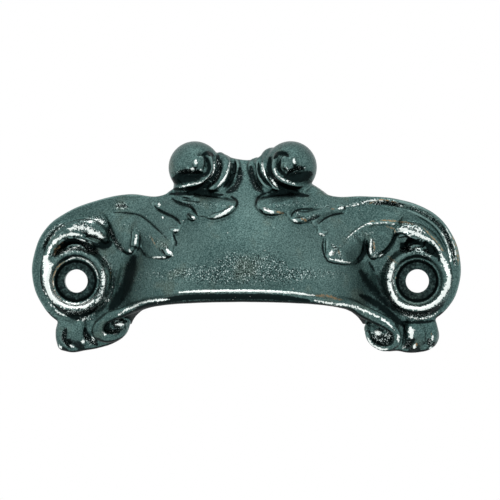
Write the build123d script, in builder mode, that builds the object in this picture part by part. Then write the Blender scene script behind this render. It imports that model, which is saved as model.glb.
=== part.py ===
from build123d import *
import os
from math import cos, pi, sin, sqrt

# A cast drawer pull of the hooded kind, in millimetres. Its back lies in the plane y = 0,
# its front looks towards -Y and +Z is up. The origin is midway between the two screw
# holes, on the back. Fingers reach up into the hood from below.
# "Across" is measured along X from the middle, and "up" along Z from the screw line.

# Screws and back plate
screw_centres = 76.2
screw_hole_diameter = 5.2
screw_seat_diameter = 9.8
plate_thickness = 3.0
shoulder_up = 19.0
ear_reach = 9.4
ear_waist_drop = 8.4

# Hood: a cap cut from a ball. Below it is open, along a lip that rises towards the front.
# The shoulders carry it out to the ears in a hollow curve.
hood_half_width = 29.0
hood_projection = 20.3
hood_middle_up = -3.4
lip_rise = 6.0
wall = 2.2
bead_diameter = 2.6
bead_proud = 1.1
shoulder_inside = 21.0
shoulder_outside = 35.0
shoulder_bottom = 6.2

# Raised rim and scroll ridge on each ear
rim_diameter = 2.6
ridge_diameter = 2.9
boss_diameter = 15.0
boss_height = 5.2
boss_edge = 1.4
screw_seat_depth = 2.3

# Pair of volutes on the crown. They stand a little left of the screws' middle, as cast.
volute_diameter = 11.8
volute_spacing = 21.6
volute_up = 25.5
volute_shift = -0.6
neck_diameter = 9.0
band_diameter = 2.6
band_overlap = 0.5

# Feet under the ears
foot_lobe_diameter = 5.4
foot_toe_diameter = 4.2
foot_drop = 13.5
foot_proud = 0.6
scroll_height = 5.5
scroll_edge = 1.2
left_scroll_diameter = 7.0
right_scroll_diameter = 8.4

# Flats that stand in for roundness
volute_sides = 12
lobe_sides = 8
hollow_flats = 18

screw_x = screw_centres / 2
hood_radius = (hood_half_width**2 + hood_projection**2) / (2 * hood_projection)
hood_centre_y = hood_radius - hood_projection
lip_back_up = hood_middle_up - lip_rise

# The lip seen from the side: shares of the hood's projection from the back, and of the
# lip's rise down from the hood's middle. It is level in front and drops into the feet.
lip_side = [
    (1.2, -0.05),
    (1.0, 0.0),
    (0.78, 0.12),
    (0.54, 0.28),
    (0.30, 0.53),
    (0.15, 0.77),
    (0, 1.0),
]

# Leaf lobes: where each starts and ends, across and up from the hood's middle, as shares
# of its half-width. Then its radius at each end and how far its end stands proud, in mm.
left_leaf = [
    ((-1.03, 0.62), (-0.93, 0.41), 1.6, 2.4, 1.0),
    ((-0.92, 0.60), (-0.67, 0.36), 2.2, 4.2, 1.6),
    ((-0.80, 0.64), (-0.57, 0.45), 1.6, 2.6, 1.1),
    ((-0.74, 0.69), (-0.56, 0.56), 1.9, 2.8, 1.2),
    ((-0.66, 0.73), (-0.44, 0.64), 2.0, 2.6, 1.2),
    ((-0.50, 0.72), (-0.16, 0.69), 2.5, 3.2, 1.7),
]
right_leaf = [
    ((1.09, 0.52), (0.98, 0.37), 1.6, 2.4, 1.0),
    ((1.00, 0.57), (0.72, 0.34), 2.2, 4.2, 1.6),
    ((0.82, 0.64), (0.63, 0.49), 1.9, 2.7, 1.1),
    ((0.77, 0.68), (0.55, 0.56), 1.8, 2.4, 1.2),
    ((0.68, 0.73), (0.41, 0.61), 2.0, 2.6, 1.2),
    ((0.49, 0.72), (0.16, 0.69), 2.5, 3.2, 1.7),
]

# The wave above each boss. Places are counted in ear reaches, across from a point one reach
# inside the screw (minus is to the left) and up from the screw. Last is the ridge's
# thickness there, as a share of its full one.
left_wave = [
    (-1.66, -0.30, 0.55),
    (-1.73, 0.10, 0.70),
    (-1.70, 0.46, 0.72),
    (-1.58, 0.80, 0.85),
    (-1.31, 1.11, 1.05),
    (-0.97, 1.26, 1.25),
    (-0.61, 1.25, 1.35),
    (-0.36, 1.08, 1.00),
]
right_wave = [
    (1.67, -0.32, 0.55),
    (1.72, 0.05, 0.70),
    (1.66, 0.43, 0.75),
    (1.48, 0.79, 0.95),
    (1.22, 1.04, 1.15),
    (0.93, 1.19, 1.20),
    (0.67, 1.23, 0.95),
    (0.53, 1.13, 0.70),
]


def cap_out(radius):
    """How far the ball stands out from the back, that far from the hood's middle line."""
    return sqrt(max(hood_radius**2 - radius**2, hood_centre_y**2)) - hood_centre_y


def shoulder_out(radius):
    """The hollow curve that leaves the ball at its own slope and ends level on the plate."""
    reach = shoulder_outside - shoulder_inside
    share = (radius - shoulder_inside) / reach
    slope = -shoulder_inside / sqrt(hood_radius**2 - shoulder_inside**2)
    return (
        cap_out(shoulder_inside) * (2 * share**3 - 3 * share**2 + 1)
        + slope * reach * (share**3 - 2 * share**2 + share)
        + plate_thickness * (3 * share**2 - 2 * share**3)
    )


def hood_out(across, up):
    """How far the hood, its shoulder or the plate stands out from the back there."""
    radius = sqrt(across**2 + (up - hood_middle_up) ** 2)
    if shoulder_inside < radius < shoulder_outside:
        return shoulder_out(radius)
    return max(plate_thickness, cap_out(radius))


def lip_out(across):
    """How far out the lip is, where the ball meets the blade that cuts it, and how high."""
    low, high = 0.0, 1.0
    for _ in range(40):
        share = (low + high) / 2
        out, up = share * hood_projection, lip_height(share)
        if cap_out(sqrt(across**2 + (up - hood_middle_up) ** 2)) > out:
            low = share
        else:
            high = share
    return out, up


def lip_height(share):
    """How high the lip is at a share of the hood's projection."""
    for (far, far_drop), (near, near_drop) in zip(lip_side, lip_side[1:]):
        if share >= near:
            break
    drop = near_drop + (far_drop - near_drop) * (share - near) / (far - near)
    return hood_middle_up - lip_rise * drop


def whittled(start, along, stations, sides):
    """A round form cut with flat faces: stations are (distance along, radius) pairs."""
    axis = Vector(*along).normalized()
    rings = []
    for distance, radius in stations:
        section = Plane(
            origin=Vector(*start) + axis * distance,
            x_dir=axis.cross(Vector(0.31, 1, 0.17)),
            z_dir=axis,
        )
        turns = [2 * pi * corner / sides for corner in range(sides)]
        rings.append([section.from_local_coords((radius * cos(t), radius * sin(t))) for t in turns])
    outlines = [rings[0], rings[-1]]
    for low, high in zip(rings, rings[1:]):
        for corner in range(sides):
            after = (corner + 1) % sides
            outlines.append([low[corner], low[after], high[after], high[corner]])
    return Solid(Shell([Face(Wire.make_polygon(outline)) for outline in outlines]))


def bent_rod(stations):
    """A bent rod with six flats and an edge to the front: stations are (point, radius)."""
    rings = []
    for index, (point, radius) in enumerate(stations):
        before = Vector(*stations[max(index - 1, 0)][0])
        after = Vector(*stations[min(index + 1, len(stations) - 1)][0])
        along = (after - before).normalized()
        section = Plane(origin=point, x_dir=along.cross(Vector(0, 1, 0)), z_dir=along)
        turns = [2 * pi * (corner + 0.5) / 6 for corner in range(6)]
        rings.append([section.from_local_coords((radius * cos(t), radius * sin(t))) for t in turns])
    outlines = [rings[0], rings[-1]]
    for low, high in zip(rings, rings[1:]):
        for corner in range(6):
            after = (corner + 1) % 6
            outlines.append([low[corner], low[after], high[after]])
            outlines.append([low[corner], high[after], high[corner]])
    return Solid(Shell([Face(Wire.make_polygon(outline)) for outline in outlines]))


def ball(radius, sides):
    """A whittled ball about the origin, with a small flat at each pole."""
    stations = []
    for turn in (-1.3, -0.79, -0.27, 0.27, 0.79, 1.3):
        stations.append((radius * sin(turn), radius * cos(turn)))
    return whittled((0, 0, 0), (0, 0, 1), stations, sides)


def teardrop(start, end, start_radius, end_radius):
    """A cone from start that swells or narrows to a blunt nose."""
    along = Vector(*end) - Vector(*start)
    length = along.length
    stations = [
        (0, start_radius),
        (length - 0.1 * end_radius, end_radius),
        (length + 0.55 * end_radius, 0.8 * end_radius),
        (length + 0.95 * end_radius, 0.35 * end_radius),
    ]
    return whittled(start, along, stations, lobe_sides)


def lobe(start, end, start_radius, end_radius, proud):
    """A leaf lobe laid on the hood. It rises from the skin, and its end stands proud."""
    points = []
    for (across_share, up_share), radius, above in (
        (start, start_radius, 0.3 * proud),
        (end, end_radius, proud),
    ):
        across = across_share * hood_half_width
        up = hood_middle_up + up_share * hood_half_width
        points.append((across, radius - above - hood_out(across, up), up))
    return teardrop(*points, start_radius, end_radius)


def tube_section(diameter):
    """The section of every tube and ridge: six flats, with an edge to the front."""
    RegularPolygon(diameter / 2, 6)


hood_centre = Location((0, hood_centre_y, hood_middle_up))

# Back plate: one half of the outline is drawn and the other is its mirror image
with BuildSketch(Plane.XZ) as plate_outline:
    with BuildLine():
        crown = Polyline(
            (0, volute_up + 1.5),
            (volute_spacing / 2, volute_up + 1.5),
            (hood_half_width * 0.57, shoulder_up),
        )
        brow = ThreePointArc(
            crown @ 1,
            (screw_x - 0.28 * ear_reach, shoulder_up - 1.5),
            (screw_x + 0.57 * ear_reach, shoulder_up - 6.0),
        )
        cheek = TangentArc(brow @ 1, (screw_x + 0.91 * ear_reach, -2.0), tangent=brow % 1)
        jaw = TangentArc(
            cheek @ 1, (screw_x + 0.38 * ear_reach, -ear_waist_drop), tangent=cheek % 1
        )
        Polyline(
            jaw @ 1,
            (hood_half_width + 2, lip_back_up + 0.6),
            (0, lip_back_up + 0.6),
            crown @ 0,
        )
    make_face()
    mirror(about=Plane.YZ)

with BuildPart() as pull:
    extrude(plate_outline.sketch, amount=plate_thickness)

# Hood, solid for now. The blade that cuts its underside is drawn from the side.
with BuildPart() as hood:
    with Locations(hood_centre):
        Sphere(hood_radius)
    split(bisect_by=Plane.XZ)
    with BuildSketch(Plane.YZ):
        with BuildLine():
            edge = [(-share * hood_projection, lip_height(share)) for share, _ in lip_side]
            below = hood_middle_up - 2 * hood_radius
            Polyline(
                (-1.2 * hood_projection, below), *edge, (1, lip_back_up), (1, below), close=True
            )
        make_face()
    extrude(amount=2 * hood_radius, both=True, mode=Mode.SUBTRACT)

# Shoulders: the hollow curve turned about the hood's middle line, kept over the plate
with BuildPart() as shoulders:
    with BuildSketch(Plane.XY.offset(hood_middle_up)):
        with BuildLine():
            reach = shoulder_outside - shoulder_inside
            radii = [shoulder_inside + reach * share for share in (0.12, 0.32, 0.52, 0.72, 0.9)]
            Polyline(
                (shoulder_inside - 3, -1),
                (shoulder_inside - 3, -cap_out(shoulder_inside)),
                *[(radius, -shoulder_out(radius)) for radius in radii],
                (shoulder_outside, -plate_thickness + 0.3),
                (shoulder_outside, -1),
                close=True,
            )
        make_face()
    revolve(axis=Axis((0, 0, hood_middle_up), (0, 1, 0)))
    extrude(plate_outline.sketch, amount=hood_projection, mode=Mode.INTERSECT)
    split(bisect_by=Plane.XY.offset(shoulder_bottom), keep=Keep.TOP)

leaves = [lobe(*one) for one in left_leaf + right_leaf]

# Volutes: a ball on a neck
with BuildPart() as volutes:
    for side in (-1, 1):
        across = volute_shift + side * volute_spacing / 2
        with Locations((across, -volute_diameter * 0.45, volute_up)):
            add(ball(volute_diameter / 2, volute_sides))
        neck_foot = (across, -neck_diameter * 0.42, volute_up - neck_diameter)
        neck = ((0, neck_diameter / 2), (neck_diameter, neck_diameter / 2))
        add(whittled(neck_foot, (0, 0, 1), neck, volute_sides))

# The hollow is turned about the upright line through the ball's middle, in flats
with BuildPart() as hollow:
    with BuildSketch(Plane.XZ):
        with BuildLine():
            turns = [pi * step / hollow_flats for step in range(hollow_flats + 1)]
            inside = hood_radius - wall
            Polyline(*[(inside * sin(turn), -inside * cos(turn)) for turn in turns], close=True)
        make_face()
    revolve(axis=Axis.Z)

# The bead follows the lip and runs on into the foot scrolls
bead_radius = bead_diameter / 2
bead_line = []
for share in (0, 0.16, 0.32, 0.47, 0.60, 0.72, 0.82):
    out, up = lip_out(share * hood_half_width)
    bead_line.append((share * hood_half_width, out + bead_proud - bead_radius, up))
bead_line.append((hood_half_width * 0.95, plate_thickness + 2.9, lip_height(0.30)))
bead_line.append((hood_half_width * 1.06, scroll_height - 0.8, lip_height(0.03)))
left_half = [((-across, -out, up), bead_radius) for across, out, up in reversed(bead_line)]
right_half = [((across, -out, up), bead_radius) for across, out, up in bead_line[1:]]
bead = bent_rod(left_half + right_half)


def rim_arcs(side):
    """The raised rim: a tube that follows the ear's edge, half sunk into the plate."""
    inset = rim_diameter / 2
    with BuildPart(mode=Mode.PRIVATE) as rim:
        with BuildLine(Plane.XZ.offset(plate_thickness - 0.3)) as path:
            top = ThreePointArc(
                (side * hood_half_width * 0.62, shoulder_up - inset),
                (side * (screw_x - 0.28 * ear_reach), shoulder_up - 1.5 - inset),
                (side * (screw_x + 0.53 * ear_reach), shoulder_up - 6.2 - inset),
            )
            down = TangentArc(
                top @ 1,
                (side * (screw_x + 0.91 * ear_reach - inset), -2.0),
                tangent=top % 1,
            )
            TangentArc(
                down @ 1,
                (side * (screw_x + 0.34 * ear_reach), -ear_waist_drop + inset),
                tangent=down % 1,
            )
        with BuildSketch(Plane(origin=path.line @ 0, x_dir=(0, 1, 0), z_dir=path.line % 0)):
            tube_section(rim_diameter)
        sweep(path=path.line)
    return rim.part


def arc_tube(middle, radius, start, sweep_angle, tube, end_ball):
    """A round ridge along part of a circle, with or without a ball at its far end."""
    across, out, up = middle
    with BuildPart(mode=Mode.PRIVATE) as ridge:
        with BuildLine(Plane.XZ.offset(out)) as path:
            CenterArc((across, up), radius, start, sweep_angle)
        with BuildSketch(Plane(origin=path.line @ 0, x_dir=(0, 1, 0), z_dir=path.line % 0)):
            tube_section(tube)
        sweep(path=path.line)
        if end_ball:
            with Locations(path.line @ 1):
                add(ball(end_ball / 2, lobe_sides))
    return ridge.part


def scroll_ridge(wave):
    """The ridge that leaves a boss on the outside and breaks over it like a wave."""
    stations = []
    for across_share, up_share, thickness in wave:
        side = 1 if across_share > 0 else -1
        across = side * screw_x + (across_share - side) * ear_reach
        out = plate_thickness + 0.5 * ridge_diameter * thickness - 0.3
        stations.append(((across, -out, up_share * ear_reach), ridge_diameter / 2 * thickness))
    return bent_rod(stations)


def volute_band(side):
    """The band that wraps round the inner side of a volute, next to the middle valley."""
    across = volute_shift + side * volute_spacing / 2
    radius = (volute_diameter + band_diameter) / 2 - band_overlap
    start = 255 if side > 0 else 285
    middle = (across, volute_diameter * 0.55, volute_up)
    return arc_tube(middle, radius, start, -side * 100, band_diameter, 0)


def button(across, up, radius, height, edge):
    """A round boss that stands up from the back, with its front edge taken off."""
    with BuildPart(mode=Mode.PRIVATE) as raised:
        with Locations((across, -height / 2, up)):
            Cylinder(radius, height, rotation=(90, 0, 0))
        chamfer(raised.edges().sort_by(Axis.Y)[0], edge)
    return raised.part


ridges = [form(side) for form in (rim_arcs, volute_band) for side in (-1, 1)]
ridges += [scroll_ridge(wave) for wave in (left_wave, right_wave)]

# Feet: two lobes and a rolled scroll with a round eye under each ear
with BuildPart() as feet:
    for side, scroll_diameter in ((-1, left_scroll_diameter), (1, right_scroll_diameter)):
        scroll_x = side * (hood_half_width + 1.2)
        scroll_up = -ear_waist_drop + 0.7 - scroll_diameter / 2
        with Locations((side * (screw_x - 2.6), -0.4 * plate_thickness, -foot_drop + 2.4)):
            Box(11.0, 0.8 * plate_thickness, 7.2)
        add(button(scroll_x, scroll_up, scroll_diameter / 2, scroll_height, scroll_edge))
        with Locations((scroll_x, -scroll_height, scroll_up)):
            Cone(
                scroll_diameter * 0.20,
                scroll_diameter * 0.36,
                5.4,
                rotation=(90, 0, 0),
                mode=Mode.SUBTRACT,
            )
        with Locations((scroll_x, 1.8 - scroll_height, scroll_up)):
            add(ball(scroll_diameter * 0.17, lobe_sides))
        for across, radius, drop in (
            (screw_x - 1.0, foot_lobe_diameter / 2, foot_drop),
            (screw_x + 2.8, foot_toe_diameter / 2, foot_drop - 0.3),
        ):
            add(
                teardrop(
                    (side * across, -0.6 * radius, -0.5 * ear_waist_drop),
                    (side * across, -0.8 * radius - foot_proud, -drop),
                    0.4 * radius,
                    radius,
                )
            )

with BuildPart() as bosses:
    for side in (-1, 1):
        add(button(side * screw_x, 0, boss_diameter / 2, boss_height, boss_edge))

with pull:
    add(hood.part)
    add(shoulders.part)
    add(volutes.part)
    for one in leaves + ridges:
        add(one)
    add(hollow.part.moved(hood_centre), mode=Mode.SUBTRACT)
    add(bead)
    add(feet.part)
    add(bosses.part)
    # Screw holes with a dished seat
    for side in (-1, 1):
        with Locations((side * screw_x, -boss_height / 2, 0)):
            Cylinder(
                screw_hole_diameter / 2, 4 * boss_height, rotation=(90, 0, 0), mode=Mode.SUBTRACT
            )
        with Locations((side * screw_x, -boss_height, 0)):
            Cone(
                screw_seat_diameter / 2 - 1.4,
                screw_seat_diameter / 2 + 1.4,
                2 * screw_seat_depth,
                rotation=(90, 0, 0),
                mode=Mode.SUBTRACT,
            )
    split(bisect_by=Plane.XZ)

pull.part.label = "pull"
os.makedirs("parts", exist_ok=True)
export_step(pull.part, "parts/pull.step")
print("pull", round(pull.part.volume), "mm3,", len(pull.part.solids()), "solid")
print("box", pull.part.bounding_box())
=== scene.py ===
# %% [markdown]
# # A cast drawer pull
#
# The object is one piece of cast metal with a dark plated finish. A plain model of it has
# already been made in a CAD program, and this script dresses that model: it builds the
# same casting again with all its carving, gives it a finish, and sets up a small studio.
#
# The frame is shared with the CAD model. X runs to the right, Z runs up, and the front of
# the pull looks towards -Y. The flat back is the plane y = 0.

# %% Load the plain model
import math

import bmesh
import bpy
import numpy as np
from mathutils import Matrix, Vector, kdtree


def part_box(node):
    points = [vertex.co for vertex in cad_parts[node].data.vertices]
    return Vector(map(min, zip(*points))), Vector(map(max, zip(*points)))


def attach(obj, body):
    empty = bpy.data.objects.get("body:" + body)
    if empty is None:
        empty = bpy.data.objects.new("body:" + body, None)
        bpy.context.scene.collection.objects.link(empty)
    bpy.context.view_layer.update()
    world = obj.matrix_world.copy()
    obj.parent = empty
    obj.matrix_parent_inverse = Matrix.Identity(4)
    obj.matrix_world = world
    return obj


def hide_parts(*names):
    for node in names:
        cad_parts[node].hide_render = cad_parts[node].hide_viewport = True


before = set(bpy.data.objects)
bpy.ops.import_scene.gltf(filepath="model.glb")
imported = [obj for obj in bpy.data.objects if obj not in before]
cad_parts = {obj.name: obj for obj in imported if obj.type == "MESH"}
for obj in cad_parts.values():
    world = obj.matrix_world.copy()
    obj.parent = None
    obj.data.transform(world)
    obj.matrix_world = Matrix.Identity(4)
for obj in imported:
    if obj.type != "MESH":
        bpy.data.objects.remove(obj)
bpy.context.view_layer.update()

mm_per_metre = 1000
low, high = (Vector(corner) * mm_per_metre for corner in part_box("pull"))
print("The casting runs from", low, "to", high, "in millimetres")

# %% [markdown]
# ## Sizes
#
# The carving is full of small curves, so it is easiest to think in millimetres. The
# casting is modelled with one Blender unit to a millimetre and made real size at the end.
# "Across" is measured along X from the middle, and "up" along Z from the line of the
# screws. "Depth" is how far something stands out from the drawer.

# %% Name the driving sizes
plate_depth = 3.0
screw_across = 38.1
screw_hole_radius = 2.6
hood_half_width = 29.0
bead_proud = 1.1
hood_depth = -low.y - bead_proud
hood_radius = (hood_half_width**2 + hood_depth**2) / (2 * hood_depth)
hood_middle = Vector((0, hood_radius - hood_depth, -3.4))
hood_wall = 2.2
print("The hood is part of a ball of radius", round(hood_radius, 2), "mm")


def hood_depth_at(across, up):
    """How far the front of the hood or plate stands out from the drawer at one place."""
    squared = hood_radius**2 - across**2 - (up - hood_middle.z) ** 2
    return max(plate_depth, math.sqrt(max(squared, 0)) - hood_middle.y)


# %% [markdown]
# ## Roughing out
#
# A pattern maker builds up a pattern from simple lumps and blends them together. The same
# is done here: balls, rods that swell and taper, and a flat plate are put in place, all
# overlapping, and one remesh then melts them into a single skin.
#
# Each lump goes into one bmesh called `rough`. A rod starts as a curve, because a curve
# bends smoothly through few points and can be thick in one place and thin in another.

# %% Helpers for the lumps
rough = bmesh.new()


def placed(name, data):
    """A new object in the scene."""
    made = bpy.data.objects.new(name, data)
    bpy.context.collection.objects.link(made)
    return made


def worked_mesh(holder):
    """The mesh that an object's curve or modifiers give. The object itself is removed."""
    graph = bpy.context.evaluated_depsgraph_get()
    mesh = bpy.data.meshes.new_from_object(holder.evaluated_get(graph))
    bpy.data.objects.remove(holder)
    return mesh


def take(mesh, place=Matrix()):
    """Adds a mesh to the rough casting."""
    mesh.transform(place)
    rough.from_mesh(mesh)
    bpy.data.meshes.remove(mesh)


def ball(across, depth, up, radius, stretch=(1, 1, 1)):
    """A ball or an egg. Depth is where its middle is."""
    place = Matrix.Translation((across, -depth, up)) @ Matrix.Diagonal((*stretch, 1))
    bmesh.ops.create_icosphere(rough, subdivisions=4, radius=radius, matrix=place)


def curve_mesh(points, radii, closed=False, **settings):
    """A mesh along a smooth curve through the points, as thick as the radii say."""
    curve = bpy.data.curves.new("line", "CURVE")
    curve.dimensions = "3D"
    curve.resolution_u = 10
    curve.bevel_depth = 1.0
    curve.bevel_resolution = 6
    curve.use_fill_caps = True
    for name, value in settings.items():
        setattr(curve, name, value)
    line = curve.splines.new("BEZIER")
    line.bezier_points.add(len(points) - 1)
    line.use_cyclic_u = closed
    for knot, point, radius in zip(line.bezier_points, points, radii):
        knot.co = point
        knot.radius = radius
        knot.handle_left_type = knot.handle_right_type = "AUTO"
    mesh = worked_mesh(placed("line", curve))
    bpy.data.curves.remove(curve)
    return mesh


def rod(rows):
    """A rod with round ends. Each row is across, depth, up and the radius there."""
    places = [Vector((across, -depth, up)) for across, depth, up, _ in rows]
    radii = [row[3] for row in rows]
    take(curve_mesh(places, radii))
    for end in (0, -1):
        bmesh.ops.create_icosphere(
            rough, subdivisions=3, radius=radii[end], matrix=Matrix.Translation(places[end])
        )


# %% [markdown]
# ### The back plate
#
# The plate is a flat board with a smooth outline. Its outline is one closed curve with few
# points, filled and given thickness, and the curve's own bevel rounds its edges. The two
# ears differ a little, as they do on a casting whose pattern was cut by hand.

# %% Make the plate
plate_outline = [
    (0.0, 27.0),
    (5.5, 27.2),
    (13.5, 22.5),
    (18.0, 19.3),
    (26.5, 18.9),
    (33.5, 18.3),
    (40.5, 15.8),
    (45.3, 11.2),
    (47.6, 5.0),
    (47.2, -1.5),
    (45.0, -5.8),
    (41.3, -8.8),
    (36.0, -10.5),
    (29.0, -8.6),
    (0.0, -8.6),
    (-29.0, -8.6),
    (-36.0, -10.5),
    (-42.2, -9.0),
    (-45.6, -5.5),
    (-47.9, 0.5),
    (-47.4, 6.5),
    (-45.0, 11.6),
    (-40.5, 15.2),
    (-33.5, 18.0),
    (-26.5, 19.4),
    (-18.5, 19.2),
    (-14.0, 22.5),
    (-5.5, 27.4),
]
edge_round = 0.9


def board(outline, depth):
    """A flat board that lies against the drawer. Its outline is (across, up) points."""
    flat = curve_mesh(
        [(across, up, 0) for across, up in outline],
        [1] * len(outline),
        closed=True,
        dimensions="2D",
        fill_mode="BOTH",
        extrude=depth / 2 - edge_round,
        bevel_depth=edge_round,
        offset=-edge_round,
    )
    take(flat, Matrix.Translation((0, -depth / 2, 0)) @ Matrix.Rotation(math.pi / 2, 4, "X"))


board(plate_outline, plate_depth)
print("The plate's outline has", len(plate_outline), "points")

# %% [markdown]
# ### The hood
#
# The hood is a cap of a ball. Its underside is cut by a curved blade that is level near
# the front and turns down towards the plate, so that the lip drops into the feet. The
# blade is a shape drawn from the side and pulled across the whole width, and a boolean
# modifier takes it away from the ball. Another block takes away what is behind the
# drawer's face. The hood stays solid for now.

# %% Make the hood
lip_side_view = [
    (24.0, -3.0),
    (20.5, -3.4),
    (16.0, -4.1),
    (11.0, -5.1),
    (6.0, -6.6),
    (3.0, -8.0),
    (0.0, -9.6),
    (-2.0, -11.0),
]
blade_half_width = 70
blade_bottom = -60


def lip_up(depth):
    """How high the lip is at a distance from the drawer."""
    depths, ups = zip(*reversed(lip_side_view))
    return float(np.interp(depth, depths, ups))


def whole(name, build):
    """A closed mesh from what build makes in a bmesh, with its normals outwards."""
    made = bmesh.new()
    build(made)
    bmesh.ops.recalc_face_normals(made, faces=made.faces)
    mesh = bpy.data.meshes.new(name)
    made.to_mesh(mesh)
    made.free()
    return mesh


def cut_away(mesh, tools, ratio=1.0):
    """The mesh with each of the tool meshes taken away from it, and slimmed."""
    holder = placed("work", mesh)
    helpers = [placed("tool", tool) for tool in tools]
    for helper in helpers:
        cut = holder.modifiers.new("cut", "BOOLEAN")
        cut.object = helper
        cut.operation = "DIFFERENCE"
        cut.solver = "MANIFOLD"
    if ratio < 1:
        slim = holder.modifiers.new("slim", "DECIMATE")
        slim.ratio = ratio
    fresh = worked_mesh(holder)
    for helper in helpers:
        bpy.data.objects.remove(helper)
    return fresh


def blade(made):
    """Everything under the lip: the side view of the lip, pulled across."""
    side_view = list(lip_side_view)
    side_view += [(depth, blade_bottom) for depth, _ in (lip_side_view[-1], lip_side_view[0])]
    corners = [made.verts.new((-blade_half_width, -depth, up)) for depth, up in side_view]
    pulled = bmesh.ops.extrude_face_region(made, geom=[made.faces.new(corners)])
    moved = [item for item in pulled["geom"] if isinstance(item, bmesh.types.BMVert)]
    bmesh.ops.translate(made, verts=moved, vec=(2 * blade_half_width, 0, 0))


def ball_of(radius, segments):
    """A fine ball round the hood's middle."""

    def build(made):
        bmesh.ops.create_uvsphere(
            made, u_segments=segments, v_segments=segments // 2, radius=radius,
            matrix=Matrix.Translation(hood_middle),
        )

    return build


def behind(start):
    """A block that takes away everything behind the plane y = start."""
    size = (200, 60, 200)

    def build(made):
        place = Matrix.Translation((0, start + size[1] / 2, 0)) @ Matrix.Diagonal((*size, 1))
        bmesh.ops.create_cube(made, size=1, matrix=place)

    return build


hood = whole("hood", ball_of(hood_radius, 128))
take(cut_away(hood, [whole("blade", blade), whole("behind", behind(0.5))]))
print("The lip rises from", lip_up(0), "at the drawer to", lip_up(hood_depth), "mm in front")

# %% [markdown]
# ### The lip bead and the foot scrolls
#
# A bead runs along the lip, and each end of it rolls up into a scroll beside the toes of
# the foot. Along the hood the bead's place comes from the hood itself: for each place
# across, the lip is where the hood's ball meets the blade. The scrolls are drawn one by one,
# because the two differ. On the right a thinner rib runs above the bead.

# %% Make the bead and the scrolls
def lip_place(across):
    """How far out and how high the lip is, found by trial. Each round comes nearer."""
    depth = 15.0
    for _ in range(60):
        depth = 0.5 * (depth + hood_depth_at(across, lip_up(depth)))
    return depth, lip_up(depth)


bead_sink = 0.15
bead_thickness = {0: 1.25, 4: 1.25, 8: 1.22, 12: 1.18, 15: 1.12, 18: 1.06, 21: 1.05, 23.5: 1.1}
bead = []
for across, radius in bead_thickness.items():
    depth, up = lip_place(across)
    bead.append((across, depth - bead_sink, up, radius))

right_roll = [
    (26.2, 7.0, -7.2, 1.15),
    (28.9, 5.8, -8.5, 1.15),
    (31.6, 5.0, -9.9, 1.1),
    (33.3, 4.6, -11.4, 1.0),
    (33.7, 4.5, -13.0, 0.9),
    (32.8, 4.4, -14.5, 0.8),
    (31.0, 4.3, -15.0, 0.7),
    (29.0, 4.2, -14.4, 0.65),
    (27.5, 4.1, -13.0, 0.6),
    (26.9, 4.0, -11.4, 0.55),
]
left_roll = [
    (-25.6, 7.0, -6.3, 1.15),
    (-28.2, 5.9, -7.2, 1.2),
    (-31.0, 5.2, -8.3, 1.3),
    (-32.7, 4.7, -9.8, 1.35),
    (-33.0, 4.4, -11.4, 1.35),
    (-31.7, 4.3, -12.5, 1.25),
    (-29.8, 4.2, -12.5, 1.15),
    (-28.0, 4.0, -11.7, 1.0),
    (-27.2, 3.6, -10.8, 0.85),
]
upper_rib = [
    (13.0, 17.4, -3.0, 0.5),
    (18.0, 14.2, -3.6, 0.6),
    (22.0, 10.9, -4.3, 0.7),
    (26.0, 7.4, -5.9, 0.75),
    (29.6, 5.4, -7.7, 0.8),
    (32.6, 4.8, -9.3, 0.8),
]
for side, roll in ((1, right_roll), (-1, left_roll)):
    rod([(side * across, *rest) for across, *rest in bead] + roll)
rod(upper_rib)
print("In the middle the bead stands", round(bead[0][1] + bead[0][3], 1), "mm out")

# %% [markdown]
# Behind the scrolls and toes lies a sole, so that a foot has one smooth outline below. It
# is a board like the plate. A round cushion, another board, closes the gap between the
# sole and the scroll in front of it. Inside each scroll is a shallow bowl with a small
# round eye, made of flattened balls.

# %% Make the soles and fill the scrolls
right_sole = [
    (26.6, -9.6),
    (26.4, -11.2),
    (27.3, -13.3),
    (29.3, -15.1),
    (31.4, -15.7),
    (33.6, -15.6),
    (36.0, -16.0),
    (38.4, -15.9),
    (41.0, -15.2),
    (42.6, -13.6),
    (42.9, -11.4),
    (41.9, -9.2),
    (40.0, -6.0),
    (31.0, -5.0),
]
left_sole = [
    (-26.2, -9.0),
    (-26.3, -10.4),
    (-27.2, -12.1),
    (-29.6, -13.8),
    (-32.8, -14.9),
    (-36.0, -15.5),
    (-39.8, -15.9),
    (-41.9, -14.8),
    (-42.6, -12.6),
    (-42.5, -10.4),
    (-41.7, -8.6),
    (-40.0, -6.0),
    (-31.0, -5.0),
]
sole_depth = 2.6
for outline in (right_sole, left_sole):
    board(outline, sole_depth)

cushions = [(30.2, -11.8, 3.0, 3.7), (-29.8, -10.2, 2.7, 3.5)]
corners = 12
turns = [math.tau * corner / corners for corner in range(corners)]
for across, up, radius, depth in cushions:
    board([(across + radius * math.cos(t), up + radius * math.sin(t)) for t in turns], depth)

bowls_and_eyes = [
    (30.4, 0.9, -12.0, 3.2, (1, 0.75, 0.95)),
    (27.9, 2.0, -10.6, 1.7, (1, 1, 1)),
    (29.6, 3.0, -11.5, 1.3, (1.3, 0.9, 0.8)),
    (-30.2, 0.9, -10.6, 2.8, (1, 0.75, 1)),
    (-28.2, 3.3, -9.6, 0.95, (1.75, 1.3, 0.85)),
]
for one in bowls_and_eyes:
    ball(*one)
print("The feet reach down to", min(up for _, up in right_sole + left_sole), "mm")

# %% [markdown]
# ### The toes
#
# Rounded toes stand side by side next to each scroll. They grow out from under the boss,
# and only narrow grooves part them. A toe is a short rod that starts thin and deep under
# the boss and ends a little drawn in. Lower rods between the toes fill the gaps, so that
# the skin only dips there. Each is told by its place across, its upper and lower ends,
# how far its front stands out, and its radius.

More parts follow.
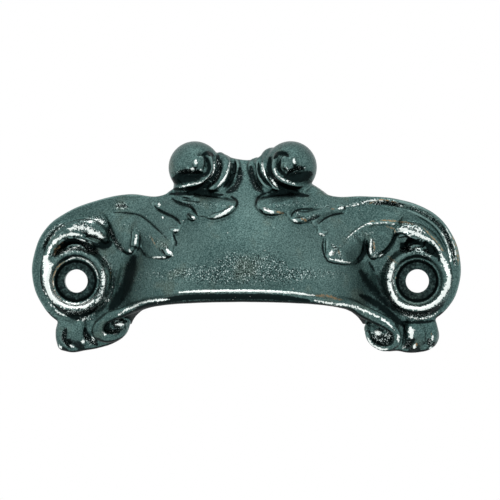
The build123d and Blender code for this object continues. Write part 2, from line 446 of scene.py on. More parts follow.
# %% Make the toes
toes = [
    (37.5, -10.6, -13.4, 4.9, 2.5),
    (41.0, -11.0, -13.3, 4.1, 1.8),
    (-37.5, -10.6, -13.0, 4.7, 2.35),
    (-41.0, -11.0, -14.0, 4.1, 1.75),
    (-34.5, -11.4, -13.0, 3.9, 1.6),
]
fillings = [
    (39.4, -10.8, -13.0, 4.1, 1.7),
    (-39.3, -10.6, -12.8, 4.1, 1.8),
    (-35.9, -10.8, -12.4, 3.9, 1.7),
]
toe_root = -7.5
for across, top_up, low_up, front, radius in toes + fillings:
    middle = front - radius
    rod(
        [
            (0.985 * across, middle - 1.2, toe_root, 0.75 * radius),
            (across, middle - 0.2, top_up, radius),
            (across, middle, 0.5 * (top_up + low_up), radius),
            (0.995 * across, middle - 0.7, low_up, 0.95 * radius),
        ]
    )
print("Toes:", len(toes))

# %% [markdown]
# ### The bosses
#
# Each screw goes through a boss like a low crater. On the real pattern it was turned, and
# here too half of its section is drawn, as (radius, depth) corners, and spun round the
# screw's line.

# %% Turn the bosses
boss_section = [
    (8.6, 2.4),
    (8.1, 3.0),
    (7.5, 4.0),
    (6.9, 5.0),
    (6.3, 5.3),
    (5.7, 4.9),
    (5.1, 4.0),
    (0.0, 3.9),
]


def boss(made):
    """The boss, about the line of its screw."""
    section = [(0.0, 0.0), (boss_section[0][0], 0.0)] + boss_section
    path = [made.verts.new((radius, -depth, 0)) for radius, depth in section]
    lines = [made.edges.new(pair) for pair in zip(path, path[1:])]
    bmesh.ops.spin(
        made, geom=path + lines, cent=(0, 0, 0), axis=(0, 1, 0), angle=math.tau, steps=64,
        use_merge=True,
    )
    bmesh.ops.remove_doubles(made, verts=made.verts, dist=0.0001)


for side in (-1, 1):
    take(whole("boss", boss), Matrix.Translation((side * screw_across, 0, 0)))
print("The bosses stand", max(depth for _, depth in boss_section), "mm out")

# %% [markdown]
# ### The waves
#
# A ridge leaves each boss on the outside, climbs round it and breaks over it like a wave.
# The wave is a rod that swells as it climbs. A thin rod, the crest, runs along its inner
# edge and keeps that edge sharp, and a short one, the ripple, lies between it and the boss.

# %% Make the waves
right_wave = [
    (44.4, 3.6, -3.0, 0.7),
    (44.9, 3.8, 0.5, 0.95),
    (44.3, 3.9, 4.0, 1.0),
    (42.6, 4.0, 7.4, 1.35),
    (40.2, 4.1, 9.8, 1.75),
    (37.4, 4.2, 11.3, 1.8),
    (35.0, 4.2, 11.7, 1.3),
    (33.7, 4.1, 10.8, 0.9),
]
right_crest = [
    (44.0, 4.6, 2.0, 0.4),
    (43.2, 4.8, 5.2, 0.5),
    (41.4, 5.2, 7.7, 0.55),
    (38.6, 5.5, 9.4, 0.6),
    (36.0, 5.5, 10.2, 0.55),
    (34.2, 5.2, 9.9, 0.5),
]
right_ripple = [
    (36.0, 3.8, 6.9, 0.5),
    (38.0, 4.2, 7.6, 0.7),
    (40.0, 4.2, 7.4, 0.7),
    (41.6, 3.9, 6.2, 0.5),
]
left_wave = [
    (-44.2, 3.6, -3.5, 0.7),
    (-45.0, 3.8, 0.5, 0.95),
    (-44.8, 3.8, 4.0, 0.95),
    (-43.6, 3.9, 7.4, 1.1),
    (-41.0, 4.0, 10.4, 1.5),
    (-37.8, 4.2, 11.9, 1.8),
    (-34.4, 4.3, 11.8, 2.0),
    (-32.2, 4.2, 10.4, 1.5),
    (-31.5, 3.9, 9.2, 0.9),
]
left_crest = [
    (-44.2, 4.6, 3.0, 0.4),
    (-43.4, 4.8, 6.4, 0.5),
    (-41.4, 5.1, 9.0, 0.55),
    (-38.6, 5.4, 10.0, 0.6),
    (-35.8, 5.4, 9.3, 0.55),
    (-33.2, 5.0, 8.2, 0.5),
]
left_ripple = [
    (-42.0, 3.6, 5.6, 0.5),
    (-40.4, 3.8, 6.9, 0.7),
    (-38.0, 3.9, 7.6, 0.7),
    (-35.6, 3.8, 7.0, 0.5),
]
for ridge in (right_wave, right_crest, right_ripple, left_wave, left_crest, left_ripple):
    rod(ridge)
print("The waves reach up to", max(row[2] for row in right_wave + left_wave), "mm")

# %% [markdown]
# ### The crown
#
# Two ball volutes stand on the crown, each on a smaller ball that is its neck. Bands wrap
# round the inner side of each, one beside the other, down into the valley between them.
# Each band is told by how far it lies from the volute's middle, its radius and its depth,
# so that one rod shape serves for all five. On each side a small ball fills in behind the
# upper ends of the bands. A thick rod lies in the valley and flows out over the hood.

# %% Make the crown
volute_up = 25.3
volute_radius = 5.85
volute_depth = 5.25
neck_drop = 4.6
neck_radius = 4.8
neck_depth = 4.4
left_bands = [(6.8, 1.25, 6.6), (9.3, 0.8, 5.6)]
right_bands = [(5.7, 0.95, 6.8), (7.3, 0.8, 6.3), (8.8, 0.7, 5.7)]
for across, side, bands in ((-11.4, -1, left_bands), (10.0, 1, right_bands)):
    ball(across, volute_depth, volute_up, volute_radius)
    ball(across, neck_depth, volute_up - neck_drop, neck_radius)
    for outset, radius, depth in bands:
        inner = across - side * outset
        rod(
            [
                (inner + side * 1.2, depth - 2.6, volute_up + 4.9 - 0.35 * outset, 0.8 * radius),
                (inner, depth - 0.9, volute_up + 1.8 - 0.1 * outset, radius),
                (inner - side * 0.1, depth + 0.3, volute_up - 0.8, radius),
                (inner + side * 0.9, depth + 1.4, volute_up - 3.0, radius),
                (inner + side * 2.8, depth + 2.6, volute_up - 4.9, 0.7 * radius),
            ]
        )
for filling in ((5.9, 3.6, 27.0, 2.8), (-5.2, 3.6, 26.0, 2.3)):
    ball(*filling)
valley = [
    (-0.5, 8.2, 15.3, 4.0),
    (-0.5, 5.7, 18.3, 4.0),
    (-0.4, 3.0, 21.3, 4.0),
    (-0.1, 0.6, 23.3, 3.6),
]
rod(valley)
print("The crown reaches up to", round(volute_up + volute_radius, 2), "mm")

# %% [markdown]
# ### Melting the lumps together
#
# The remesh modifier in voxel mode keeps only the outer skin of everything that overlaps.
# It is used again later, when the leaves have stretched the skin. A few rounds of
# smoothing then blend the joints, as a pattern maker does with wax.

# %% Remesh
def remeshed(mesh, size, rounds):
    """The skin of a mesh made again from even faces of one size, and smoothed."""
    holder = placed("skin", mesh)
    skin = holder.modifiers.new("skin", "REMESH")
    skin.mode = "VOXEL"
    skin.voxel_size = size
    ease = holder.modifiers.new("ease", "SMOOTH")
    ease.factor = 0.5
    ease.iterations = rounds
    fresh = worked_mesh(holder)
    bpy.data.meshes.remove(mesh)
    return fresh


blend_voxel = 0.26
blend_rounds = 3
casting = bpy.data.meshes.new("casting")
rough.to_mesh(casting)
rough.free()
casting = remeshed(casting, blend_voxel, blend_rounds)
print("Roughed out:", len(casting.polygons), "faces")

# %% [markdown]
# ## Carving
#
# From here on the skin itself is moved, as a carver works the blended pattern. These
# helpers read and write all the vertices at once as arrays, because moving some hundred
# thousand of them one by one is slow.

# %% Helpers for carving
def read_skin(mesh):
    """Places and normals of all the vertices, as arrays."""
    places = np.empty(len(mesh.vertices) * 3)
    normals = np.empty(len(mesh.vertices) * 3)
    mesh.vertices.foreach_get("co", places)
    mesh.vertices.foreach_get("normal", normals)
    return places.reshape(-1, 3), normals.reshape(-1, 3)


def write_skin(mesh, places):
    """Puts all the vertices in their new places."""
    mesh.vertices.foreach_set("co", places.ravel())
    mesh.update()


def facing(normals):
    """1 where the skin faces the front. It fades to 0 where the skin turns away."""
    return np.clip(-normals[:, 1] * 3, 0, 1)


def ramp(values, start, end):
    """0 before start, 1 after end, and a smooth rise between."""
    share = np.clip((values - start) / (end - start), 0, 1)
    return share * share * (3 - 2 * share)


def smooth_line(points, steps=6):
    """Closely spaced rows on a smooth curve through the given rows."""
    rows = np.array(points, dtype=float)
    padded = np.vstack([2 * rows[0] - rows[1], rows, 2 * rows[-1] - rows[-2]])
    found = []
    for before, start, end, after in zip(padded, padded[1:], padded[2:], padded[3:]):
        for share in np.linspace(0, 1, steps, endpoint=False):
            found.append(
                0.5 * (
                    2 * start
                    + (end - before) * share
                    + (2 * before - 5 * start + 4 * end - after) * share**2
                    + (3 * start - before - 3 * end + after) * share**3
                )
            )
    found.append(rows[-1])
    return np.array(found)


tiny = 1e-9
everywhere = 60


def near_line(places, points, reach):
    """Which vertices lie within reach of a line seen from the front, how far off they are,
    and how far along it, from 0 to 1."""
    line = smooth_line(points)
    lengths = np.linalg.norm(np.diff(line, axis=0), axis=1)
    marks = np.concatenate([[0], np.cumsum(lengths)]) / lengths.sum()
    spots = places[:, [0, 2]]
    inside = np.all((spots > line.min(axis=0) - reach) & (spots < line.max(axis=0) + reach), axis=1)
    chosen = np.nonzero(inside)[0]
    spots = spots[chosen]
    best = np.full(len(chosen), np.inf)
    along = np.zeros(len(chosen))
    for start, end, first, last in zip(line, line[1:], marks, marks[1:]):
        step = end - start
        share = np.clip((spots - start) @ step / max(step @ step, tiny), 0, 1)
        gap = np.linalg.norm(spots - start - share[:, None] * step, axis=1)
        closer = gap < best
        best[closer] = gap[closer]
        along[closer] = first + share[closer] * (last - first)
    close = best < reach
    return chosen[close], best[close], along[close]


def inside_outline(places, points):
    """How far inside a closed outline each vertex is, seen from the front, or 0."""
    closed = list(points) + [points[0]]
    chosen, gap, _ = near_line(places, closed, reach=everywhere)
    line = smooth_line(closed)
    across, up = places[chosen, 0], places[chosen, 2]
    within = np.zeros(len(chosen), dtype=bool)
    for start, end in zip(line, line[1:]):
        crosses = (start[1] > up) != (end[1] > up)
        rise = end[1] - start[1]
        at = start[0] + (up - start[1]) * (end[0] - start[0]) / (rise if rise else tiny)
        within ^= crosses & (across < at)
    inset = np.zeros(len(places))
    inset[chosen[within]] = gap[within]
    return inset


# %% [markdown]
# ### The shoulders
#
# A ball meets a board in a sharp corner. On the real casting the hood flows out into the
# ears through a hollow curve, widest above, under the leaves. This raises the skin to
# that curve. It starts on the ball at one radius with the ball's own slope and ends level
# with the plate at a larger radius. No fillet tool is used, because the width of the
# curve changes on its way round.

# %% Raise the shoulders
shoulder_inner = 26.0
shoulder_outer = 30.0
shoulder_widening = 5.0
shoulder_bottom = -7

places, normals = read_skin(casting)
across, up = places[:, 0], places[:, 2] - hood_middle.z
radius = np.hypot(across, up)
wide = ramp(up / np.maximum(radius, 1), 0.25, 0.55)
inner = shoulder_inner - shoulder_widening * wide
outer = shoulder_outer + shoulder_widening * wide
start_depth = np.sqrt(hood_radius**2 - inner**2) - hood_middle.y
start_slope = -inner / np.sqrt(hood_radius**2 - inner**2)
share = np.clip((radius - inner) / (outer - inner), 0, 1)
curve = (
    start_depth * (2 * share**3 - 3 * share**2 + 1)
    + start_slope * (outer - inner) * (share**3 - 2 * share**2 + share)
    + plate_depth * (3 * share**2 - 2 * share**3)
)
raised = (radius > inner) & (places[:, 2] > shoulder_bottom)
lift = np.where(raised, np.maximum(curve + places[:, 1], 0), 0)
places[:, 1] -= lift * facing(normals)
write_skin(casting, places)
print("Shoulders raised by up to", round(float(lift.max()), 2), "mm")

# %% [markdown]
# ### The leaves
#
# On each shoulder lies a spray of leaves. Its lower outline is cut like a leaf's edge,
# and its top runs off over the brow, where it fades into the ear. The whole spray is
# raised first, with a rounded edge, and the lobes are parted afterwards. Raising
# stretches the skin along that edge, so it is remade with smaller faces, which the fine
# strokes need too.

# %% Raise the leaf sprays
left_spray = [
    (-37.0, 24.0),
    (-34.5, 17.0),
    (-31.6, 14.6),
    (-30.6, 12.2),
    (-29.6, 9.4),
    (-28.2, 7.1),
    (-26.6, 6.0),
    (-25.2, 6.2),
    (-24.4, 7.4),
    (-23.6, 6.8),
    (-22.4, 5.5),
    (-20.2, 5.0),
    (-17.4, 4.9),
    (-15.9, 5.6),
    (-15.6, 6.8),
    (-15.2, 8.6),
    (-15.4, 10.4),
    (-14.2, 11.1),
    (-13.6, 12.2),
    (-12.6, 13.6),
    (-11.4, 13.2),
    (-10.2, 13.9),
    (-9.2, 14.2),
    (-6.9, 13.6),
    (-4.4, 14.1),
    (-2.4, 15.2),
    (-1.4, 16.6),
    (-1.8, 18.0),
    (-5.0, 18.9),
    (-12.0, 20.0),
    (-18.0, 24.0),
]
right_spray = [
    (18.0, 24.0),
    (12.0, 20.0),
    (6.0, 19.3),
    (3.0, 18.6),
    (2.2, 17.2),
    (3.2, 15.5),
    (5.0, 14.6),
    (7.4, 14.6),
    (9.0, 15.0),
    (9.8, 13.8),
    (11.0, 12.8),
    (12.8, 12.6),
    (14.4, 13.0),
    (15.2, 12.2),
    (16.0, 11.6),
    (16.2, 10.4),
    (17.3, 9.8),
    (17.5, 7.6),
    (17.6, 5.4),
    (18.5, 4.3),
    (20.3, 3.8),
    (22.6, 3.5),
    (25.0, 4.2),
    (26.2, 5.8),
    (26.9, 7.6),
    (27.2, 5.8),
    (28.4, 4.8),
    (30.0, 5.8),
    (31.8, 7.4),
    (33.0, 9.4),
    (34.0, 12.6),
    (35.5, 15.5),
    (38.0, 24.0),
]
spray_height = 1.1
spray_round = 1.1
carving_voxel = 0.22

places, normals = read_skin(casting)
for outline in (left_spray, right_spray):
    inset = inside_outline(places, outline)
    share = np.clip(inset / spray_round, 0, 1)
    fade = 1 - ramp(np.abs(places[:, 0]), 25.0, 30.0) * ramp(places[:, 2], 12.5, 17.0)
    height = spray_height * np.sqrt(1 - (1 - share) ** 2) * fade
    places[:, 1] -= height * facing(normals)
write_skin(casting, places)
casting = remeshed(casting, carving_voxel, 1)
print("Leaves raised:", len(casting.polygons), "faces")

# %% [markdown]
# ### Strokes
#
# Everything finer is a stroke: a half-width, a height and the (across, up) points of a
# line. A positive height raises a ridge and a negative one cuts a groove. A stroke fades
# towards both ends, like the mark of a graver. Broad low strokes give each lobe its
# swelling, narrow ones part the lobes, and short high ones turn up the tips. They are
# kept as lists, so that a stroke can be moved without touching the mesh code.

# %% List the strokes
swellings = [
    # Left leaves
    (1.6, 0.45, [(-28.6, 12.6), (-27.4, 10.0), (-26.4, 7.8)]),
    (1.9, 0.6, [(-25.6, 13.4), (-22.6, 11.4), (-20.0, 8.8), (-18.2, 6.6)]),
    (1.2, 0.4, [(-24.0, 15.6), (-20.0, 14.2), (-17.4, 11.8), (-16.2, 9.4)]),
    (1.1, 0.4, [(-18.8, 17.4), (-15.4, 16.2), (-12.4, 14.4)]),
    (1.5, 0.6, [(-13.0, 18.2), (-8.0, 17.0), (-4.0, 16.4)]),
    # Right leaves
    (1.6, 0.45, [(30.8, 11.0), (29.8, 8.8), (28.8, 6.8)]),
    (1.9, 0.6, [(25.6, 9.6), (22.6, 7.4), (20.2, 5.8)]),
    (1.3, 0.4, [(27.0, 14.2), (22.6, 13.0), (19.4, 11.4), (17.8, 10.8)]),
    (1.0, 0.35, [(19.8, 16.2), (16.0, 15.0), (13.0, 13.8)]),
    (1.5, 0.6, [(12.0, 18.0), (8.4, 16.9), (5.0, 16.2)]),
]
grooves = [
    # Left leaves
    (0.28, -0.35, [
        (-29.6, 15.3), (-26.0, 15.1), (-23.7, 14.6), (-21.5, 13.2), (-19.5, 11.5),
        (-17.3, 9.6),
    ]),
    (0.32, -0.5, [
        (-20.4, 17.2), (-19.8, 16.2), (-18.0, 15.2), (-16.1, 14.4), (-14.8, 13.5),
        (-14.0, 12.5),
    ]),
    (0.32, -0.5, [(-16.4, 18.3), (-14.2, 17.3), (-12.2, 16.7), (-11.0, 15.5), (-10.3, 14.4)]),
    (0.35, -0.4, [(-14.4, 18.5), (-12.0, 17.9), (-9.4, 17.3)]),
    (0.35, -0.6, [(-23.4, 10.6), (-23.5, 8.4), (-23.0, 6.8), (-22.0, 5.3)]),
    (0.35, -0.5, [(-31.0, 13.0), (-30.4, 11.2), (-29.2, 8.4), (-27.8, 6.6), (-26.3, 5.8)]),
    # Right leaves
    (0.42, -0.55, [(9.9, 13.6), (10.5, 15.2), (11.8, 16.0), (13.4, 15.8), (15.4, 16.2), (17.4, 16.5)]),
    (0.4, -0.5, [(14.0, 12.8), (15.3, 13.9), (17.0, 14.6)]),
    (0.42, -0.55, [(16.2, 12.2), (16.9, 13.7), (18.4, 14.6), (20.4, 15.1), (21.9, 15.6), (21.8, 16.8)]),
    (0.42, -0.6, [(17.9, 10.0), (17.9, 7.6), (18.2, 5.2)]),
    (0.25, -0.25, [(22.0, 8.6), (23.4, 10.2), (25.2, 11.6), (27.6, 12.9)]),
    (0.5, -0.8, [(27.0, 9.8), (26.6, 7.6), (26.0, 5.4), (24.6, 3.8)]),
    (0.35, -0.5, [(28.6, 4.4), (30.3, 5.8), (32.3, 8.0), (33.4, 10.0), (34.4, 10.8)]),
    # Between the bands and under the volutes
    (0.45, -0.9, [(-10.8, 27.9), (-9.6, 28.4), (-8.6, 27.6), (-8.4, 25.8), (-8.9, 24.2)]),
    (0.6, -1.0, [
        (-8.0, 29.0), (-6.8, 27.8), (-6.4, 25.6), (-6.7, 23.8), (-7.9, 21.9), (-10.5, 20.3),
        (-15.6, 20.0),
    ]),
    (0.45, -0.8, [(-2.9, 27.6), (-2.6, 25.2), (-3.0, 22.8), (-4.5, 20.6)]),
    (0.6, -0.8, [(-15.5, 19.6), (-11.0, 19.6), (-7.0, 19.2), (-3.0, 18.6), (-1.6, 17.4)]),
    (0.45, -0.9, [(10.2, 27.8), (9.3, 28.5), (8.0, 28.0), (7.2, 26.6), (7.2, 25.0), (8.2, 23.6)]),
    (0.5, -0.9, [
        (6.6, 28.8), (5.4, 27.0), (5.1, 25.2), (5.5, 23.4), (6.8, 21.6), (9.0, 20.4),
        (14.0, 20.0),
    ]),
    (0.35, -0.7, [(3.6, 27.2), (3.4, 25.2), (4.0, 22.8), (5.6, 20.8)]),
    (0.35, -0.6, [(2.0, 26.6), (1.9, 24.8), (2.5, 22.4), (4.2, 20.2)]),
    (0.6, -0.8, [(14.2, 19.6), (10.0, 19.7), (6.0, 19.4), (3.4, 18.8), (2.4, 17.4)]),
    # Ears
    (0.5, -0.6, [(-45.8, -0.5), (-44.6, -4.0), (-42.4, -6.6), (-40.0, -8.2)]),
    (0.8, -0.5, [(-28.2, 5.4), (-29.3, 1.0), (-30.3, -3.0), (-32.4, -7.0), (-34.4, -9.6)]),
    (0.8, -0.5, [(28.0, 4.0), (29.4, 0.5), (30.6, -3.0), (32.6, -6.5), (34.9, -9.4)]),
    (0.45, -0.55, [(-40.0, 12.2), (-42.4, 10.8), (-44.4, 8.6), (-45.6, 6.2)]),
    (0.35, -0.5, [
        (27.0, 17.2), (31.6, 17.2), (35.0, 16.6), (38.4, 15.5), (41.4, 13.8), (43.8, 11.6),
        (45.2, 8.7), (46.0, 6.1), (46.4, 3.6),
    ]),
    # Feet
    (0.5, -0.6, [(-40.5, -10.8), (-40.7, -12.8), (-39.8, -14.0), (-39.2, -15.0)]),
    (0.5, -0.7, [(-35.7, -10.8), (-35.5, -12.4), (-34.2, -13.7), (-33.2, -14.0)]),
    (0.25, -0.25, [(39.3, -9.6), (40.0, -11.5), (39.8, -14.0)]),
    (0.5, -0.5, [(41.0, -13.0), (40.6, -14.0)]),
    (0.3, -0.4, [(34.4, -9.0), (35.1, -11.0), (35.1, -13.5), (34.6, -15.4)]),
    (0.6, -0.6, [(36.5, -13.2), (36.0, -14.1), (35.8, -14.9)]),
]
pockets = [
    (1.0, -1.3, [(-42.2, 7.6), (-40.0, 8.9), (-37.0, 8.8), (-34.4, 7.6), (-32.4, 7.9)]),
    (1.0, -1.3, [(34.6, 9.0), (35.4, 7.9), (37.6, 8.7), (40.4, 8.2), (42.2, 5.8)]),
    (1.1, -1.5, [(-15.4, 22.9), (-13.0, 23.2), (-10.2, 23.2), (-9.0, 24.4)]),
    (1.1, -1.5, [(13.4, 23.2), (12.2, 24.2), (10.4, 23.4), (9.0, 23.8)]),
]
ridges = [
    # Left leaf tips
    (0.4, 0.55, [(-24.8, 11.4), (-24.8, 9.6), (-25.3, 7.4)]),
    (0.45, 0.6, [(-18.6, 7.4), (-17.4, 6.5), (-16.3, 5.7)]),
    (0.4, 0.5, [(-16.4, 11.2), (-14.8, 11.3)]),
    (0.4, 0.5, [(-12.6, 14.8), (-11.6, 14.0), (-10.8, 13.6)]),
    (0.45, 0.5, [(-7.6, 14.1), (-5.0, 14.7), (-3.2, 15.6), (-2.2, 16.4)]),
    (0.4, 0.4, [(-21.0, 17.6), (-20.4, 16.9), (-19.8, 17.4)]),
    # Right leaf tips
    (0.45, 0.55, [(27.8, 10.2), (27.6, 8.0), (27.9, 6.0), (29.0, 5.6)]),
    (0.45, 0.6, [(20.6, 7.2), (19.6, 6.6), (18.7, 5.8)]),
    (0.4, 0.5, [(18.4, 10.8), (17.0, 10.5)]),
    (0.45, 0.5, [(4.0, 15.8), (5.4, 15.2), (7.4, 15.1)]),
    (0.4, 0.5, [(11.0, 13.5), (12.4, 13.5), (13.6, 14.0)]),
    (0.4, 0.4, [(20.4, 16.4), (21.4, 16.8), (22.2, 16.2)]),
    (0.45, 0.5, [(26.0, 12.0), (28.4, 12.8), (31.4, 12.9), (33.6, 12.6)]),
    # Rims of the ears
    (0.35, 0.3, [
        (24.6, 17.2), (28.0, 18.0), (32.4, 17.8), (36.8, 16.8), (40.6, 15.4), (43.4, 13.2),
        (45.3, 10.4), (46.6, 7.2), (47.1, 4.0),
    ]),
    (0.35, 0.35, [(36.4, 15.6), (40.0, 13.8), (42.6, 11.6), (44.3, 8.6), (45.2, 5.6), (45.6, 3.6)]),
    (0.45, 0.45, [(-39.4, 13.6), (-42.4, 12.0), (-44.6, 9.6), (-46.0, 7.0)]),
    # Bands and buds of the volutes
    (0.35, 0.45, [
        (-9.8, 27.6), (-8.0, 27.8), (-7.4, 26.2), (-7.5, 24.6), (-8.6, 22.8), (-10.8, 21.5),
        (-15.6, 20.9),
    ]),
    (0.35, 0.45, [
        (8.7, 27.4), (7.0, 27.8), (6.5, 26.2), (6.5, 24.6), (7.5, 22.9), (9.2, 21.8),
        (11.8, 21.2), (14.2, 21.1),
    ]),
    (0.45, 0.7, [(-11.6, 26.6), (-11.0, 25.8), (-10.8, 25.0)]),
    (0.45, 0.7, [(-13.0, 25.2), (-12.0, 24.7)]),
    (0.45, 0.7, [(10.8, 27.4), (11.0, 26.4), (11.4, 25.6)]),
    (0.45, 0.7, [(8.6, 25.4), (9.6, 25.2)]),
]
print("Strokes:", len(swellings + grooves + pockets + ridges))

# %% [markdown]
# All the strokes are worked in one pass, along the skin's normals, so that none is bent by
# the one before it. Across its line a stroke has the shape of a bell curve, which has no
# edges that would show as facets.

# %% Work the strokes
places, normals = read_skin(casting)
shift = np.zeros(len(places))
for half_width, height, line in swellings + grooves + pockets + ridges:
    chosen, gap, along = near_line(places, line, 2.4 * half_width)
    fade = np.clip(np.minimum(along, 1 - along) * 5, 0.2, 1)
    shift[chosen] += height * fade * np.exp(-((gap / half_width) ** 2))
places += normals * (shift * facing(normals))[:, None]
write_skin(casting, places)
print("The strokes move the skin from", round(shift.min(), 2), "to", round(shift.max(), 2), "mm")

# %% [markdown]
# ## Coring, drilling and facing
#
# A core in the mould leaves the hollow behind the hood. The screw holes are drilled and
# their seats dished, and the back is faced flat. Each of these is a tool, taken away with
# a boolean modifier. A decimate modifier at the end spends the faces where the shape
# turns most, and keeps the piece light enough to export. The share that it keeps would
# leave 190,000 triangles of the uncut skin, and the cuts take away more than half.

# %% Cut the hollow, the holes and the back
def drill(radius_back, radius_front, start, end):
    """A pair of round tools on the lines of the screws, from one depth to another."""

    def build(made):
        for side in (-1, 1):
            middle = Vector((side * screw_across, -(start + end) / 2, 0))
            bmesh.ops.create_cone(
                made, cap_ends=True, segments=64, radius1=radius_back, radius2=radius_front,
                depth=end - start,
                matrix=Matrix.Translation(middle) @ Matrix.Rotation(math.pi / 2, 4, "X"),
            )

    return build


seat_bottom = 2.9
seat_bottom_radius = 4.1
seat_mouth = 5.2
seat_mouth_radius = 5.4
uncut_triangles = 190000
triangles_per_face = 2.05
finished = cut_away(
    casting,
    [
        whole("core", ball_of(hood_radius - hood_wall, 160)),
        whole("hole", drill(screw_hole_radius, screw_hole_radius, -5, 20)),
        whole("seat", drill(seat_bottom_radius, seat_mouth_radius, seat_bottom, seat_mouth)),
        whole("behind", behind(0)),
    ],
    uncut_triangles / (triangles_per_face * len(casting.polygons)),
)
print("Cut and slimmed:", len(finished.polygons), "faces")

# %% [markdown]
# Slimming leaves long triangles on the smooth hood. The finish is stored at the vertices,
# so long edges are halved, three times over, wherever they stand out in front of the
# plate. Every mark there then has vertices near. The flat back carries no marks and keeps
# its long triangles.

# %% Halve the long edges
longest = 0.6
plate_front = -plate_depth - 0.1
even = bmesh.new()
even.from_mesh(finished)
for _ in range(3):
    long_edges = [
        edge for edge in even.edges
        if edge.calc_length() > longest and min(end.co.y for end in edge.verts) < plate_front
    ]
    bmesh.ops.subdivide_edges(even, edges=long_edges, cuts=1)
    bmesh.ops.triangulate(even, faces=even.faces)
even.to_mesh(finished)
even.free()
print("Halved:", len(finished.polygons), "faces")

# %% [markdown]
# ## Where highlights and shade are painted on the finish
#
# The hollows are painted black as shade, and whatever stands up gets a painted sheen. How
# far a vertex stands above its smoothed surroundings tells the two apart. Smoothing over a
# short way finds sharp edges and fine grooves, and over a longer way finds pockets and
# swellings.

# %% Measure ridges and hollows
places, normals = read_skin(casting)
pairs = np.empty(len(casting.edges) * 2, dtype=int)
casting.edges.foreach_get("vertices", pairs)
pairs = pairs.reshape(-1, 2)
count = np.bincount(pairs.ravel(), minlength=len(places))


def stand_out(rounds):
    """How far each vertex stands out from the skin smoothed that many times."""
    smoothed = places.copy()
    for _ in range(rounds):
        for axis in range(3):
            column = smoothed[:, axis]
            total = np.bincount(pairs[:, 0], column[pairs[:, 1]], len(places))
            total += np.bincount(pairs[:, 1], column[pairs[:, 0]], len(places))
            smoothed[:, axis] = total / count
    return np.einsum("ij,ij->i", places - smoothed, normals)


sharp = stand_out(rounds=4)
broad = stand_out(rounds=40)
print("Sharp", np.percentile(sharp, (1, 5, 25, 75, 95, 99)).round(3))
print("Broad", np.percentile(broad, (1, 5, 25, 75, 95, 99)).round(3))
